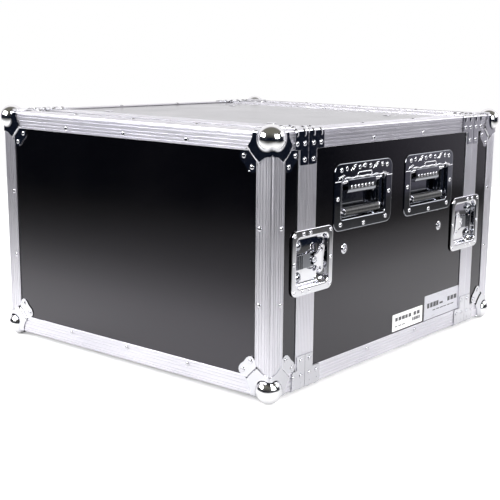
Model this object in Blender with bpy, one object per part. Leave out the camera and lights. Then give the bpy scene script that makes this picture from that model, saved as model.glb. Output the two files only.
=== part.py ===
"""Road case for 19-inch equipment, 8 rack units high, with two lift-off lids.

Frame: +Z up, origin under the centre of the case at floor level.  The front lid faces -Y, the rear
lid faces +Y, and the carrying handles are on the two long sides, +X and -X.
All sizes below are in millimetres and become metres when a mesh is made.
"""
import math

import bmesh
import bpy
from mathutils import Matrix, Vector

MM = 0.001

# ---- Case ------------------------------------------------------------------------------------
WIDTH = 615.0                  # X, over the edge extrusions
DEPTH = 690.0                  # Y, over the edge extrusions
HEIGHT = 400.0                 # Z, over the edge extrusions
BALL_PROUD = 9.6               # how far a ball corner stands out past the extrusions
Z_MID = BALL_PROUD + HEIGHT / 2
HALF_X = WIDTH / 2
HALF_Y = DEPTH / 2
HALF_Z = HEIGHT / 2
FRONT_LID_DEPTH = 84.0
REAR_LID_DEPTH = 93.0
SEAM = {-1: -HALF_Y + FRONT_LID_DEPTH, 1: HALF_Y - REAR_LID_DEPTH}
GAP = 0.3                      # air left between touching pieces

# ---- Plywood and extrusions --------------------------------------------------------------------
PLY = 9.5
FLANGE = 30.0                  # width of the angle extrusion's outer flanges
SKIN = 1.5                     # wall of every extrusion
PLY_OUT = SKIN + GAP           # depth of the plywood's outer face below the extrusions
PLY_IN = PLY_OUT + PLY         # depth of its inner face
CORE = PLY_IN + GAP + SKIN     # depth of the extrusions' inner face
PLY_EDGE = 13.5                # how far from the outer corner a plywood panel starts
INNER_LEG = 28.0               # reach of the extrusion's inner legs
NOSE = 4.0                     # rounding of the outer edges
NOSE_STEPS = 3
WEB = 1.414                    # half width of the diagonal web, measured along an axis

# ---- Tongue-and-groove rings round the two openings ----------------------------------------------
RING = 22.5                    # width of each profile, from the seam
RING_WEB = 8.0                 # thickness of its cross web, from the seam
RING_INNER = 20.0              # width of its inner flange
TONGUE = (5.6, 8.6)            # depth range of the tongue
TONGUE_REACH = 3.6
GROOVE = (5.3, 8.9)
GROOVE_REACH = 4.15
PLY_START = RING_WEB + GAP     # where the wall panels start, from the seam
LIP = 0.2                      # the top and bottom panels are pressed this much thinner under the metal
LIP_OVER = 0.5                 # how far the thinner margin runs past the metal that covers it
PAST = 5.0                     # how far a cutter runs out past the surface it opens

# ---- Sheet-metal corner clamps over each seam ----------------------------------------------------
CLAMP_THICK = 1.2
CLAMP_WIDE = {"lid": 32.0, "body": 39.0}
CLAMP_DEPTH = 30.5
CLAMP_STEM = 20.0
CLAMP_STEM_DEPTH = 53.4
CLAMP_BACK = 0.2               # the clamp's edge lies this far back from the ring's
CLAMP_BITE = 0.75              # how far the clamp sinks into its ring, where the two are one piece

# ---- Ball corners --------------------------------------------------------------------------------
BALL_R = 20.5
BALL_SIDES = 16
BALL_WALL = 1.5
BALL_IN = BALL_R - BALL_PROUD  # distance of the ball's centre from the outer faces
BALL_CLIP = 28.2               # the ball's shell ends here inside the case
BALL_HOLE = 15.0               # radius of the hole in each petal, ending inside the ball's wall
HOLE_STEPS = 6
CORNER_CUT = 28.5              # corner cut-away of the extrusions and plywood behind the ball
PETAL_THICK = 1.2
PETAL_REACH = 36.5             # where a petal ends along each edge of the case
PETAL_FLARE = ((38.0, 12.0), (43.0, 21.0), (43.7, 30.4))       # its side, from the edge to the lobe
PETAL_LOBE = ((48.5, 31.2), (57.0, 31.2), (61.0, 37.0), (59.0, 44.0), (50.0, 47.0))     # on the plywood

# ---- Latches ---------------------------------------------------------------------------------------
LATCH_Z = -1.5                 # latch centre, from mid-height
LATCH_HALF_Z = 50.5
LATCH_BODY = 67.0              # reach of the body half, from the seam
LATCH_LID = 36.7
LATCH_RIM = 12.0
LATCH_OPEN_Z = 38.0
LATCH_CORNER = 12.0            # rounding of the rim
LATCH_MOUTH = 8.0              # rounding of the opening
LATCH_FLOOR = 9.3
SHEET = 1.2                    # wall of the pressed dishes
KEEPER = ((-11.5, -9.5), (8.0, 9.8), (-13.0, 13.0))    # along, depth and height ranges of the lid's ridge
ROTOR_AT = 24.0                # rotor axis, from the seam
ROTOR_R = 13.0
ROTOR_DISC = (9.0, 6.9)        # depth range of the disc
ROTOR_SIDES = 12
BOSS_R = 4.2
BOSS_TOP = 1.4                 # depth of the boss's outer end
BOSS_CLEAR = 0.4               # air round the boss in the wing and in the hook's slot
HINGE_DEPTH = 2.7              # depth of the wing's hinge axis
WING = (1.6, 3.8)              # depth range of the wing's plate
WING_REACH = 22.5              # from the rotor axis to the straight edge
WING_HALF = 22.5
WING_LOBE = 6.0                # rounding of the two lobes
WING_ARM = 9.0                 # outer side of the arms
WING_TAIL = 1.4                # how far the arms pass the rotor axis
WING_SHOULDER = 8.0            # where the arms widen into the plate, from the axis
EYE_R = 2.6
EYE_IN = (7.0, 8.0)            # the eyes' centres, in from the straight edge and from the ends
HOOK = (4.8, 6.6)              # depth range of the hook's plate
HOOK_HALF = 11.0
HOOK_ENDS = (-15.0, 38.0)
HOOK_TIP = (2.0, 7.7)          # length and depth of the turned-down tip
HOOK_TRAVEL = 6.0

# ---- Handles ---------------------------------------------------------------------------------------
HANDLE_OFFSET = 103.5          # handle centres, either side of the middle of the body
HANDLE_Z = 87.5                # rim centre, from mid-height
HANDLE_HALF = (83.0, 53.5)
HANDLE_CORNER = 15.0
PAN_HALF_Y = 63.0
PAN_Z = (52.0, 115.0)          # bottom and top of the pan, from mid-height
PAN_CORNER = 4.0
PAN_DEPTH = 22.0
BAIL_Z = 110.6                 # bail axis, from mid-height
BAIL_DEPTH = 8.0
BAIL_HALF = 57.0
BAIL_DROP = 48.5
BAIL_R = 3.5
BAIL_SIDES = 8
STUB_CLEAR = 2.2               # air between the stub ends and the pan's side walls
GRIP_HALF = 49.0
GRIP_R = 7.0

# ---- Rack rails: hole pitches of the 19-inch standard -----------------------------------------------
RACK_UNITS = 8
UNIT = 44.45
RACK_OPENING = 450.0
RACK_HOLE_X = 465.1 / 2
HOLE_SIDE = 9.5
HOLES_IN_UNIT = (6.35, 22.225, 38.1)
RAIL_FROM_SEAM = 25.0
RAIL_THICK = 2.0
RAIL_FLANGE = 27.0
RAIL_WEB = 40.0
RAIL_FOOT = 47.0
PAN_CLEAR = 4.0                # air between a rail and the pan of the handle beside it

# ---- Lid lining ---------------------------------------------------------------------------------------
FOAM_THICK = 20.0
FOAM_CORNER = 30.0
FOAM_CLEAR = 6.0

SHARP_FROM = 40.0              # faces that meet at more degrees than this keep a sharp edge

COLOURS = {
    "laminate": ((0.016, 0.016, 0.018), 0.42, 0.0),
    "aluminium": ((0.74, 0.73, 0.77), 0.36, 1.0),
    "plated_steel": ((0.78, 0.78, 0.79), 0.14, 1.0),
    "black_steel": ((0.03, 0.03, 0.03), 0.45, 1.0),
    "foam": ((0.045, 0.045, 0.05), 0.95, 0.0),
}


# ---- Small helpers ---------------------------------------------------------------------------------
def clear_scene():
    for obj in list(bpy.data.objects):
        bpy.data.objects.remove(obj, do_unlink=True)


def make_materials():
    made = {}
    for name, (colour, roughness, metallic) in COLOURS.items():
        material = bpy.data.materials.new(name)
        material.use_nodes = True
        shader = material.node_tree.nodes["Principled BSDF"]
        shader.inputs["Base Color"].default_value = (*colour, 1.0)
        shader.inputs["Roughness"].default_value = roughness
        shader.inputs["Metallic"].default_value = metallic
        made[name] = material
    return made


def make_object(name, points, faces, material):
    """One mesh object from points in millimetres, with its faces turned outwards."""
    bm = bmesh.new()
    verts = [bm.verts.new(Vector(p) * MM) for p in points]
    for face in faces:
        bm.faces.new([verts[i] for i in face])
    bmesh.ops.recalc_face_normals(bm, faces=bm.faces[:])
    mesh = bpy.data.meshes.new(name)
    bm.to_mesh(mesh)
    bm.free()
    mesh.materials.append(MATERIALS[material])
    obj = bpy.data.objects.new(name, mesh)
    bpy.context.scene.collection.objects.link(obj)
    return obj


def moved_copy(source, name, matrix):
    """A copy of a finished object with the matrix applied; a mirrored one keeps its faces outwards."""
    mesh = source.data.copy()
    mesh.name = name
    mesh.transform(matrix)
    if matrix.determinant() < 0:
        mesh.flip_normals()
    obj = bpy.data.objects.new(name, mesh)
    bpy.context.scene.collection.objects.link(obj)
    return obj


def remove(obj):
    mesh = obj.data
    bpy.data.objects.remove(obj, do_unlink=True)
    bpy.data.meshes.remove(mesh)


def combine(obj, others, operation):
    """Boolean with exact results, applied at once; the other objects are used up."""
    for other in others:
        other.hide_render = True
        other.display_type = "WIRE"
        modifier = obj.modifiers.new("combine", "BOOLEAN")
        modifier.operation = operation
        modifier.solver = "EXACT"
        modifier.object = other
    graph = bpy.context.evaluated_depsgraph_get()
    result = bpy.data.meshes.new_from_object(obj.evaluated_get(graph))
    obj.modifiers.clear()
    old = obj.data
    name = old.name
    obj.data = result
    bpy.data.meshes.remove(old)
    result.name = name
    for other in others:
        remove(other)


def set_origin(obj, point):
    """Moves the object's origin to a point, in millimetres, and leaves its surface where it is."""
    place = Vector(point) * MM
    obj.data.transform(Matrix.Translation(-place))
    obj.location = place


def smooth(obj):
    """Shades the round faces smooth and keeps the real edges sharp."""
    obj.data.shade_smooth()
    obj.data.set_sharp_from_angle(angle=math.radians(SHARP_FROM))


def box(name, low, high, material="laminate"):
    points = [(x, y, z) for x in (low[0], high[0]) for y in (low[1], high[1]) for z in (low[2], high[2])]
    faces = [(0, 1, 3, 2), (4, 6, 7, 5), (0, 4, 5, 1), (2, 3, 7, 6), (0, 2, 6, 4), (1, 5, 7, 3)]
    return make_object(name, points, faces, material)


def prism(name, outline, place, start, end, material):
    """Extrudes a closed outline; place turns (a, b, c) into a point, with c running start to end."""
    count = len(outline)
    points = [place(a, b, c) for c in (start, end) for a, b in outline]
    faces = [tuple(range(count)), tuple(range(count, 2 * count))]
    faces += [(i, (i + 1) % count, (i + 1) % count + count, i + count) for i in range(count)]
    return make_object(name, points, faces, material)


def arc(centre, radius, start, end, steps):
    """Points on a circle, angles in degrees, both ends included."""
    points = []
    for i in range(steps + 1):
        angle = math.radians(start + (end - start) * i / steps)
        points.append((centre[0] + radius * math.cos(angle), centre[1] + radius * math.sin(angle)))
    return points


def sheet(name, outer, inner, faces, material):
    """Closed thin body between two matching point sets, with walls along every open edge."""
    count = len(outer)
    uses = {}
    for face in faces:
        for i, a in enumerate(face):
            b = face[(i + 1) % len(face)]
            edge = (min(a, b), max(a, b))
            uses[edge] = uses.get(edge, 0) + 1
    solid = [tuple(face) for face in faces]
    solid += [tuple(i + count for i in face) for face in faces]
    solid += [(a, b, b + count, a + count) for (a, b), times in uses.items() if times == 1]
    return make_object(name, list(outer) + list(inner), solid, material)


# ---- Profiles -----------------------------------------------------------------------------------------
def angle_profile():
    """Double-angle edge extrusion: outer L, diagonal web and inner L, as (depth, depth) pairs."""
    leg_out = PLY_IN + GAP
    return ([(FLANGE, 0.0)] + arc((NOSE, NOSE), NOSE, 270.0, 180.0, NOSE_STEPS) + [
        (0.0, FLANGE), (SKIN, FLANGE), (SKIN, SKIN + WEB), (leg_out, leg_out + WEB), (leg_out, INNER_LEG),
        (CORE, INNER_LEG), (CORE, CORE), (INNER_LEG, CORE), (INNER_LEG, leg_out), (leg_out + WEB, leg_out),
        (SKIN + WEB, SKIN), (FLANGE, SKIN)])


def ring_profile(joint):
    """Seam profile as (distance from the seam, depth) pairs; joint is its tongue or groove."""
    face = GAP / 2
    return [(face, 0.0), (RING, 0.0), (RING, SKIN), (RING_WEB, SKIN), (RING_WEB, PLY_IN + GAP),
            (RING_INNER, PLY_IN + GAP), (RING_INNER, CORE), (face, CORE)] + joint


def rectangle_loop(inset, leg=None):
    """Rounded rectangle in X and Z at a depth inside the case outline, counter-clockwise from +X, -Z.

    With leg, each corner also has a point that far from it on both sides.
    """
    radius = max(NOSE - inset, 1.0)
    half = (HALF_X - inset, HALF_Z - inset)
    loop = []
    for sx, sz, turn in ((1, -1, -90.0), (1, 1, 0.0), (-1, 1, 90.0), (-1, -1, 180.0)):
        corner = arc((sx * (half[0] - radius), sz * (half[1] - radius)), radius, turn, turn + 90.0, NOSE_STEPS)
        if leg is not None:
            reach = max(leg - inset, radius + 1.0)
            before = (sx * half[0], sz * (half[1] - reach))
            after = (sx * (half[0] - reach), sz * half[1])
            if sx * sz < 0:
                before, after = after, before
            corner = [before] + corner + [after]
        loop += corner
    return loop


def swept_ring(name, profile, end_y, sign, material, leg=None):
    """Closed rectangular ring; the profile's first value runs along Y from end_y, in direction sign."""
    loops = [[(x, end_y + sign * along, Z_MID + z) for x, z in rectangle_loop(inset, leg)]
             for along, inset in profile]
    size = len(loops[0])
    points = [p for loop in loops for p in loop]
    faces = []
    for i in range(len(loops)):
        j = (i + 1) % len(loops)
        for k in range(size):
            m = (k + 1) % size
            faces.append((i * size + k, i * size + m, j * size + m, j * size + k))
    return make_object(name, points, faces, material)


# ---- Seam rings with their clamps --------------------------------------------------------------------
def corner_clamp(part, end_y, sign, sx, sz):
    """T-shaped cover wrapped over one long edge, from the side face to the top or bottom face."""
    rows = [(GAP / 2 + CLAMP_BACK, CLAMP_BITE), (CLAMP_STEM, CLAMP_BITE), (RING + GAP, -GAP),
            (CLAMP_WIDE[part], -GAP)]
    outer_level = -(GAP + CLAMP_THICK)

    def section(level):
        bend = arc((NOSE, NOSE), NOSE - level, 180.0, 270.0, 2)
        return ([(level, CLAMP_STEM_DEPTH), (level, CLAMP_DEPTH)] + bend
                + [(CLAMP_DEPTH, level), (CLAMP_STEM_DEPTH, level)])

    def place(u, v, along):
        return (sx * (HALF_X - u), end_y + sign * along, Z_MID + sz * (HALF_Z - v))

    outer = [place(u, v, along) for along, _ in rows for u, v in section(outer_level)]
    inner = [place(u, v, along) for along, level in rows for u, v in section(level)]
    columns = len(section(outer_level))
    faces = []
    for row in range(len(rows) - 1):
        for col in range(columns - 1):
            stem_cell = col in (0, columns - 2)
            if stem_cell and row > 0:
                continue
            first = row * columns + col
            faces.append((first, first + 1, first + 1 + columns, first + columns))
    return sheet("clamp", outer, inner, faces, "plated_steel")


def seam_ring(name, part, end):
    """The tongue or groove ring of one opening, notched for the latches, with four corner clamps."""
    sign = end if part == "lid" else -end
    seam = SEAM[end]
    face = GAP / 2
    if part == "lid":
        joint = [(face, TONGUE[1]), (-TONGUE_REACH, TONGUE[1]), (-TONGUE_REACH, TONGUE[0]), (face, TONGUE[0])]
    else:
        joint = [(face, GROOVE[1]), (GROOVE_REACH, GROOVE[1]), (GROOVE_REACH, GROOVE[0]), (face, GROOVE[0])]
    ring = swept_ring(name, ring_profile(joint), seam, sign, "aluminium")
    notch_depth = LATCH_FLOOR + SHEET + GAP
    notch_half = LATCH_OPEN_Z + SHEET + GAP
    y_ends = sorted((seam - sign * 2 * PAST, seam + sign * (RING + PAST)))
    for sx in (-1, 1):
        x_ends = sorted((sx * (HALF_X + PAST), sx * (HALF_X - notch_depth)))
        cutter = box("notch", (x_ends[0], y_ends[0], Z_MID + LATCH_Z - notch_half),
                     (x_ends[1], y_ends[1], Z_MID + LATCH_Z + notch_half))
        combine(ring, [cutter], "DIFFERENCE")
    for sx in (-1, 1):
        for sz in (-1, 1):
            combine(ring, [corner_clamp(part, seam, sign, sx, sz)], "UNION")
    return ring


# ---- Body shell -------------------------------------------------------------------------------------
def side_name(sx):
    return "right" if sx > 0 else "left"


def end_name(end):
    return "rear" if end > 0 else "front"


def level_name(sz):
    return "top" if sz > 0 else "bottom"


def body_edges():
    """Four long extrusions, ending against the seam rings."""
    start = SEAM[-1] + RING + GAP
    finish = SEAM[1] - RING - GAP
    for sx in (-1, 1):
        for sz in (-1, 1):
            def place(u, v, y, sx=sx, sz=sz):
                return (sx * (HALF_X - u), y, Z_MID + sz * (HALF_Z - v))
            prism(f"edge_extrusion_{level_name(sz)}_{side_name(sx)}", angle_profile(), place, start, finish,
                  "aluminium")


def body_panels():
    """Four plywood walls; the side walls are cut out for the handles and latches."""
    start = SEAM[-1] + PLY_START
    finish = SEAM[1] - PLY_START
    for sz in (-1, 1):
        levels = sorted((sz * (HALF_Z - PLY_OUT - LIP), sz * (HALF_Z - PLY_IN)))
        panel = box(f"body_{level_name(sz)}_panel", (-HALF_X + PLY_EDGE, start, Z_MID + levels[0]),
                    (HALF_X - PLY_EDGE, finish, Z_MID + levels[1]), "laminate")
        levels = sorted((sz * (HALF_Z - PLY_OUT), sz * (HALF_Z - PLY_IN + LIP)))
        x = HALF_X - CLAMP_DEPTH - LIP_OVER
        margin = RING + LIP_OVER
        field = box("field", (-x, SEAM[-1] + margin, Z_MID + levels[0]),
                    (x, SEAM[1] - margin, Z_MID + levels[1]))
        combine(panel, [field], "UNION")
    for sx in (-1, 1):
        x_ends = sorted((sx * (HALF_X - PLY_OUT), sx * (HALF_X - PLY_IN)))
        panel = box(f"body_{side_name(sx)}_panel", (x_ends[0], start, Z_MID - HALF_Z + PLY_EDGE),
                    (x_ends[1], finish, Z_MID + HALF_Z - PLY_EDGE), "laminate")
        clear = SHEET + GAP
        for end in (-1, 1):
            y_ends = sorted((SEAM[end] + end * PAST, SEAM[end] - end * (LATCH_BODY - LATCH_RIM + clear)))
            cutter = box("latch_hole", (x_ends[0] - PAST, y_ends[0], Z_MID + LATCH_Z - LATCH_OPEN_Z - clear),
                         (x_ends[1] + PAST, y_ends[1], Z_MID + LATCH_Z + LATCH_OPEN_Z + clear))
            combine(panel, [cutter], "DIFFERENCE")
            centre = handle_y(end)
            cutter = box("handle_hole", (x_ends[0] - PAST, centre - PAN_HALF_Y - clear, Z_MID + PAN_Z[0] - clear),
                         (x_ends[1] + PAST, centre + PAN_HALF_Y + clear, Z_MID + PAN_Z[1] + clear))
            combine(panel, [cutter], "DIFFERENCE")


def handle_y(end):
    return (SEAM[-1] + SEAM[1]) / 2 + end * HANDLE_OFFSET


# ---- Rack rails -----------------------------------------------------------------------------------------
def rack_rails():
    """Four bent rails; each front flange carries the standard hole pattern."""
    half_height = RACK_UNITS * UNIT / 2
    x0 = RACK_OPENING / 2
    x1 = x0 + RAIL_FLANGE
    wall = HALF_X - PLY_IN - GAP
    t = RAIL_THICK
    web = RAIL_WEB
    foot = RAIL_WEB + RAIL_FOOT
    outline = [(x0, 0.0), (x1, 0.0), (x1, web - t), (wall, web - t), (wall, foot), (wall - t, foot),
               (wall - t, web), (x1 - t, web), (x1 - t, t), (x0, t)]
    start = SEAM[-1] + RAIL_FROM_SEAM

    def place(x, along, z):
        return (x, start + along, Z_MID + z)

    rail = prism("rack_rail_front_right", outline, place, -half_height, half_height, "black_steel")
    for unit in range(RACK_UNITS):
        for pitch in HOLES_IN_UNIT:
            z = Z_MID - half_height + unit * UNIT + pitch
            half = HOLE_SIDE / 2
            hole = box("hole", (RACK_HOLE_X - half, start - t, z - half),
                       (RACK_HOLE_X + half, start + 2 * t, z + half))
            combine(rail, [hole], "DIFFERENCE")
    pan_x = HALF_X - PAN_DEPTH - SHEET - PAN_CLEAR
    pan = box("pan_space", (pan_x, handle_y(-1) - PAN_HALF_Y - PAN_CLEAR, Z_MID + PAN_Z[0] - PAN_CLEAR),
              (HALF_X, handle_y(-1), Z_MID + PAN_Z[1] + PAN_CLEAR))
    combine(rail, [pan], "DIFFERENCE")
    leg_z = HALF_Z - INNER_LEG - GAP
    for sz in (-1, 1):
        z_ends = sorted((Z_MID + sz * leg_z, Z_MID + sz * HALF_Z))
        leg_space = box("leg_space", (HALF_X - INNER_LEG - GAP, start - PAST, z_ends[0]),
                        (HALF_X, start + foot + PAST, z_ends[1]))
        combine(rail, [leg_space], "DIFFERENCE")
    mirror_x = Matrix.Diagonal((-1.0, 1.0, 1.0, 1.0))
    middle = (SEAM[-1] + SEAM[1]) / 2 * MM
    mirror_y = Matrix.Translation((0, 2 * middle, 0)) @ Matrix.Diagonal((1.0, -1.0, 1.0, 1.0))
    moved_copy(rail, "rack_rail_front_left", mirror_x)
    moved_copy(rail, "rack_rail_rear_right", mirror_y)
    moved_copy(rail, "rack_rail_rear_left", mirror_x @ mirror_y)


# ---- Handles ---------------------------------------------------------------------------------------------
def rounded_outline(low, high, radius, steps=3):
    """Closed rounded rectangle, counter-clockwise."""
    points = []
    for cx, cy, turn in ((high[0] - radius, low[1] + radius, -90.0), (high[0] - radius, high[1] - radius, 0.0),
                         (low[0] + radius, high[1] - radius, 90.0), (low[0] + radius, low[1] + radius, 180.0)):
        points += arc((cx, cy), radius, turn, turn + 90.0, steps)
    return points


def dish_faces(count, closed):
    """Rim, wall and floor faces over three outlines of equal length: rim edge, mouth, floor."""
    steps = count if closed else count - 1
    faces = []
    for level in range(2):
        for i in range(steps):
            j = (i + 1) % count
            faces.append((level * count + i, level * count + j, (level + 1) * count + j, (level + 1) * count + i))
    faces.append(tuple(range(2 * count, 3 * count)))
    return faces


def handle_dish(sx, end):
    """Pressed plate with a rounded rim and a deep pan for the folded handle."""
    y = handle_y(end)
    rim = rounded_outline((-HANDLE_HALF[0], HANDLE_Z - HANDLE_HALF[1]),
                          (HANDLE_HALF[0], HANDLE_Z + HANDLE_HALF[1]), HANDLE_CORNER)
    mouth = rounded_outline((-PAN_HALF_Y, PAN_Z[0]), (PAN_HALF_Y, PAN_Z[1]), PAN_CORNER)
    wider = rounded_outline((-PAN_HALF_Y - SHEET, PAN_Z[0] - SHEET), (PAN_HALF_Y + SHEET, PAN_Z[1] + SHEET),
                            PAN_CORNER + SHEET)
    face = PLY_OUT - GAP - SHEET

    def at(points, depth):
        return [(sx * (HALF_X - depth), y + a, Z_MID + b) for a, b in points]

    outer = at(rim, face) + at(mouth, face) + at(mouth, PAN_DEPTH)
    inner = at(rim, face + SHEET) + at(wider, face + SHEET) + at(wider, PAN_DEPTH + SHEET)
    return sheet(f"handle_dish_{end_name(end)}_{side_name(sx)}", outer, inner, dish_faces(len(rim), True),
                 "plated_steel")


def handle_bail(sx, end):
    """U-shaped bail with a thick grip; its two stub ends lie on the hinge axis."""
    y = handle_y(end)
    axis_x = HALF_X - BAIL_DEPTH
    stub = PAN_HALF_Y - STUB_CLEAR
    drop = BAIL_DROP
    # Each step of the path is (along Y, up, lean of the cross-section at a mitre, radius).
    path = [(-stub, 0.0, 0, BAIL_R), (-BAIL_HALF, 0.0, 1, BAIL_R), (-BAIL_HALF, -drop, 1, BAIL_R),
            (-GRIP_HALF, -drop, 0, BAIL_R), (-GRIP_HALF, -drop, 0, GRIP_R), (GRIP_HALF, -drop, 0, GRIP_R),
            (GRIP_HALF, -drop, 0, BAIL_R), (BAIL_HALF, -drop, -1, BAIL_R), (BAIL_HALF, 0.0, -1, BAIL_R),
            (stub, 0.0, 0, BAIL_R)]
    sides = BAIL_SIDES
    points = []
    for a, b, lean, radius in path:
        for i in range(sides):
            angle = 2 * math.pi * (i + 0.5) / sides
            out = radius * math.cos(angle)
            flat = radius * math.sin(angle)
            points.append((sx * (axis_x + out), y + a + lean * flat, Z_MID + BAIL_Z + b + flat))
    faces = [tuple(range(sides)), tuple(range(len(points) - sides, len(points)))]
    for ring in range(len(path) - 1):
        for i in range(sides):
            j = (i + 1) % sides
            first = ring * sides
            faces.append((first + i, first + j, first + j + sides, first + i + sides))
    bail = make_object(f"handle_bail_{end_name(end)}_{side_name(sx)}", points, faces, "plated_steel")
    smooth(bail)
    set_origin(bail, (sx * axis_x, y, Z_MID + BAIL_Z))


# ---- Latches ------------------------------------------------------------------------------------------------
def latch_outline(start, reach, half_z, radius):
    """U-shaped open outline from the seam round the far end and back to the seam."""
    points = [(start, -half_z)]
    points += arc((reach - radius, -half_z + radius), radius, -90.0, 0.0, 3)
    points += arc((reach - radius, half_z - radius), radius, 0.0, 90.0, 3)
    points.append((start, half_z))
    return points


def latch_half(name, sx, seam, sign, reach):
    """One half of the latch dish, open towards the seam."""
    start = GAP / 2
    rim = latch_outline(start, reach, LATCH_HALF_Z, LATCH_CORNER)
    mouth = latch_outline(start, reach - LATCH_RIM, LATCH_OPEN_Z, LATCH_MOUTH)
    wider = latch_outline(start, reach - LATCH_RIM + SHEET, LATCH_OPEN_Z + SHEET, LATCH_MOUTH + SHEET)
    face = -GAP - SHEET

    def at(points, depth):
        return [(sx * (HALF_X - depth), seam + sign * a, Z_MID + LATCH_Z + b) for a, b in points]

    outer = at(rim, face) + at(mouth, face) + at(mouth, LATCH_FLOOR)
    inner = at(rim, face + SHEET) + at(wider, face + SHEET) + at(wider, LATCH_FLOOR + SHEET)
    return sheet(name, outer, inner, dish_faces(len(rim), False), "plated_steel")


def latch_place(sx, end):
    """Maps (distance from the seam into the body, depth, height from the latch centre) to a point."""
    def place(along, depth, z):
        return (sx * (HALF_X - depth), SEAM[end] - end * along, Z_MID + LATCH_Z + z)
    return place


def latch_strike(sx, end, tag):
    """The lid's half of the dish, with the ridge that the hook pulls on."""
    place = latch_place(sx, end)
    strike = latch_half(f"latch_strike_{tag}", sx, SEAM[end], end, LATCH_LID)
    along, depth, height = KEEPER
    low = place(along[0], depth[0], height[0])
    high = place(along[1], depth[1], height[1])
    corners = [sorted(pair) for pair in zip(low, high)]
    keeper = box("keeper", [c[0] for c in corners], [c[1] for c in corners], "plated_steel")
    combine(strike, [keeper], "UNION")


def latch_rotor(sx, end, tag):
    """Disc on the dish floor with a boss that carries the wing."""
    place = latch_place(sx, end)
    levels = [(ROTOR_DISC[0], ROTOR_R), (ROTOR_DISC[1], ROTOR_R), (ROTOR_DISC[1], BOSS_R), (BOSS_TOP, BOSS_R)]
    sides = ROTOR_SIDES
    points = []
    for depth, radius in levels:
        for i in range(sides):
            angle = 2 * math.pi * i / sides
            points.append(place(ROTOR_AT + radius * math.cos(angle), depth, radius * math.sin(angle)))
    faces = [tuple(range(sides)), tuple(range(len(points) - sides, len(points)))]
    for ring in range(len(levels) - 1):
        for i in range(sides):
            j = (i + 1) % sides
            faces.append((ring * sides + i, ring * sides + j, (ring + 1) * sides + j, (ring + 1) * sides + i))
    rotor = make_object(f"latch_rotor_{tag}", points, faces, "plated_steel")
    smooth(rotor)
    set_origin(rotor, place(ROTOR_AT, HINGE_DEPTH, 0.0))


def latch_wing(sx, end, tag):
    """Folding plate: straight outer edge, two round lobes with eyes, and two arms astride the boss."""
    place = latch_place(sx, end)
    arm_in = BOSS_R + BOSS_CLEAR
    tail = ROTOR_AT - WING_TAIL
    far = ROTOR_AT + WING_REACH
    crotch = ROTOR_AT + arm_in + BOSS_CLEAR
    upper = arc((far - WING_LOBE, WING_HALF - WING_LOBE), WING_LOBE, 0.0, 120.0, 4)
    upper += [(ROTOR_AT + WING_SHOULDER, WING_ARM), (tail, WING_ARM), (tail, arm_in), (crotch, arm_in)]
    lower = [(a, -b) for a, b in reversed(upper)]

    def wing_place(a, b, c):
        return place(a, c, b)

    wing = prism(f"latch_wing_{tag}", upper + lower, wing_place, WING[0], WING[1], "plated_steel")
    eye_z = WING_HALF - EYE_IN[1]
    for z in (eye_z, -eye_z):
        outline = arc((far - EYE_IN[0], z), EYE_R, 0.0, 315.0, 7)
        eye = prism("eye", outline, wing_place, WING[0] - SHEET, WING[1] + SHEET, "plated_steel")
        combine(wing, [eye], "DIFFERENCE")
    set_origin(wing, place(ROTOR_AT, HINGE_DEPTH, 0.0))


def latch_hook(sx, end, tag):
    """Slotted plate round the boss, with its tip turned down behind the keeper."""
    place = latch_place(sx, end)
    outer, inner = HOOK
    first, last = HOOK_ENDS
    length, tip = HOOK_TIP
    side = [(first, outer), (last, outer), (last, inner), (first + length, inner), (first + length, tip),
            (first, tip)]
    hook = prism(f"latch_hook_{tag}", side, place, -HOOK_HALF, HOOK_HALF, "plated_steel")
    half = BOSS_R + BOSS_CLEAR
    low = place(ROTOR_AT - half, outer - SHEET, -half)
    high = place(ROTOR_AT + half + HOOK_TRAVEL, inner + SHEET, half)
    corners = [sorted(pair) for pair in zip(low, high)]
    combine(hook, [box("slot", [c[0] for c in corners], [c[1] for c in corners], "plated_steel")], "DIFFERENCE")
    set_origin(hook, place(ROTOR_AT, (outer + inner) / 2, 0.0))


def latch_set(sx, end):
    """Body dish, lid strike, rotor, folding wing and hook of one latch."""
    tag = f"{end_name(end)}_{side_name(sx)}"
    latch_half(f"latch_dish_{tag}", sx, SEAM[end], -end, LATCH_BODY)
    latch_strike(sx, end, tag)
    latch_rotor(sx, end, tag)
    latch_wing(sx, end, tag)
    latch_hook(sx, end, tag)


# ---- Lids ------------------------------------------------------------------------------------------------------
def lid_depth(end):
    return REAR_LID_DEPTH if end > 0 else FRONT_LID_DEPTH


def corner_cutters(end):
    """Boxes that clear the extrusions and plywood behind the four ball corners."""
    cutters = []
    y_ends = sorted((end * (HALF_Y + PAST), end * (HALF_Y - CORNER_CUT)))
    for sx in (-1, 1):
        for sz in (-1, 1):
            x_ends = sorted((sx * (HALF_X + PAST), sx * (HALF_X - CORNER_CUT)))
            z_ends = sorted((sz * (HALF_Z + PAST), sz * (HALF_Z - CORNER_CUT)))
            cutters.append(box("corner", (x_ends[0], y_ends[0], Z_MID + z_ends[0]),
                               (x_ends[1], y_ends[1], Z_MID + z_ends[1])))
    return cutters


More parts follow.
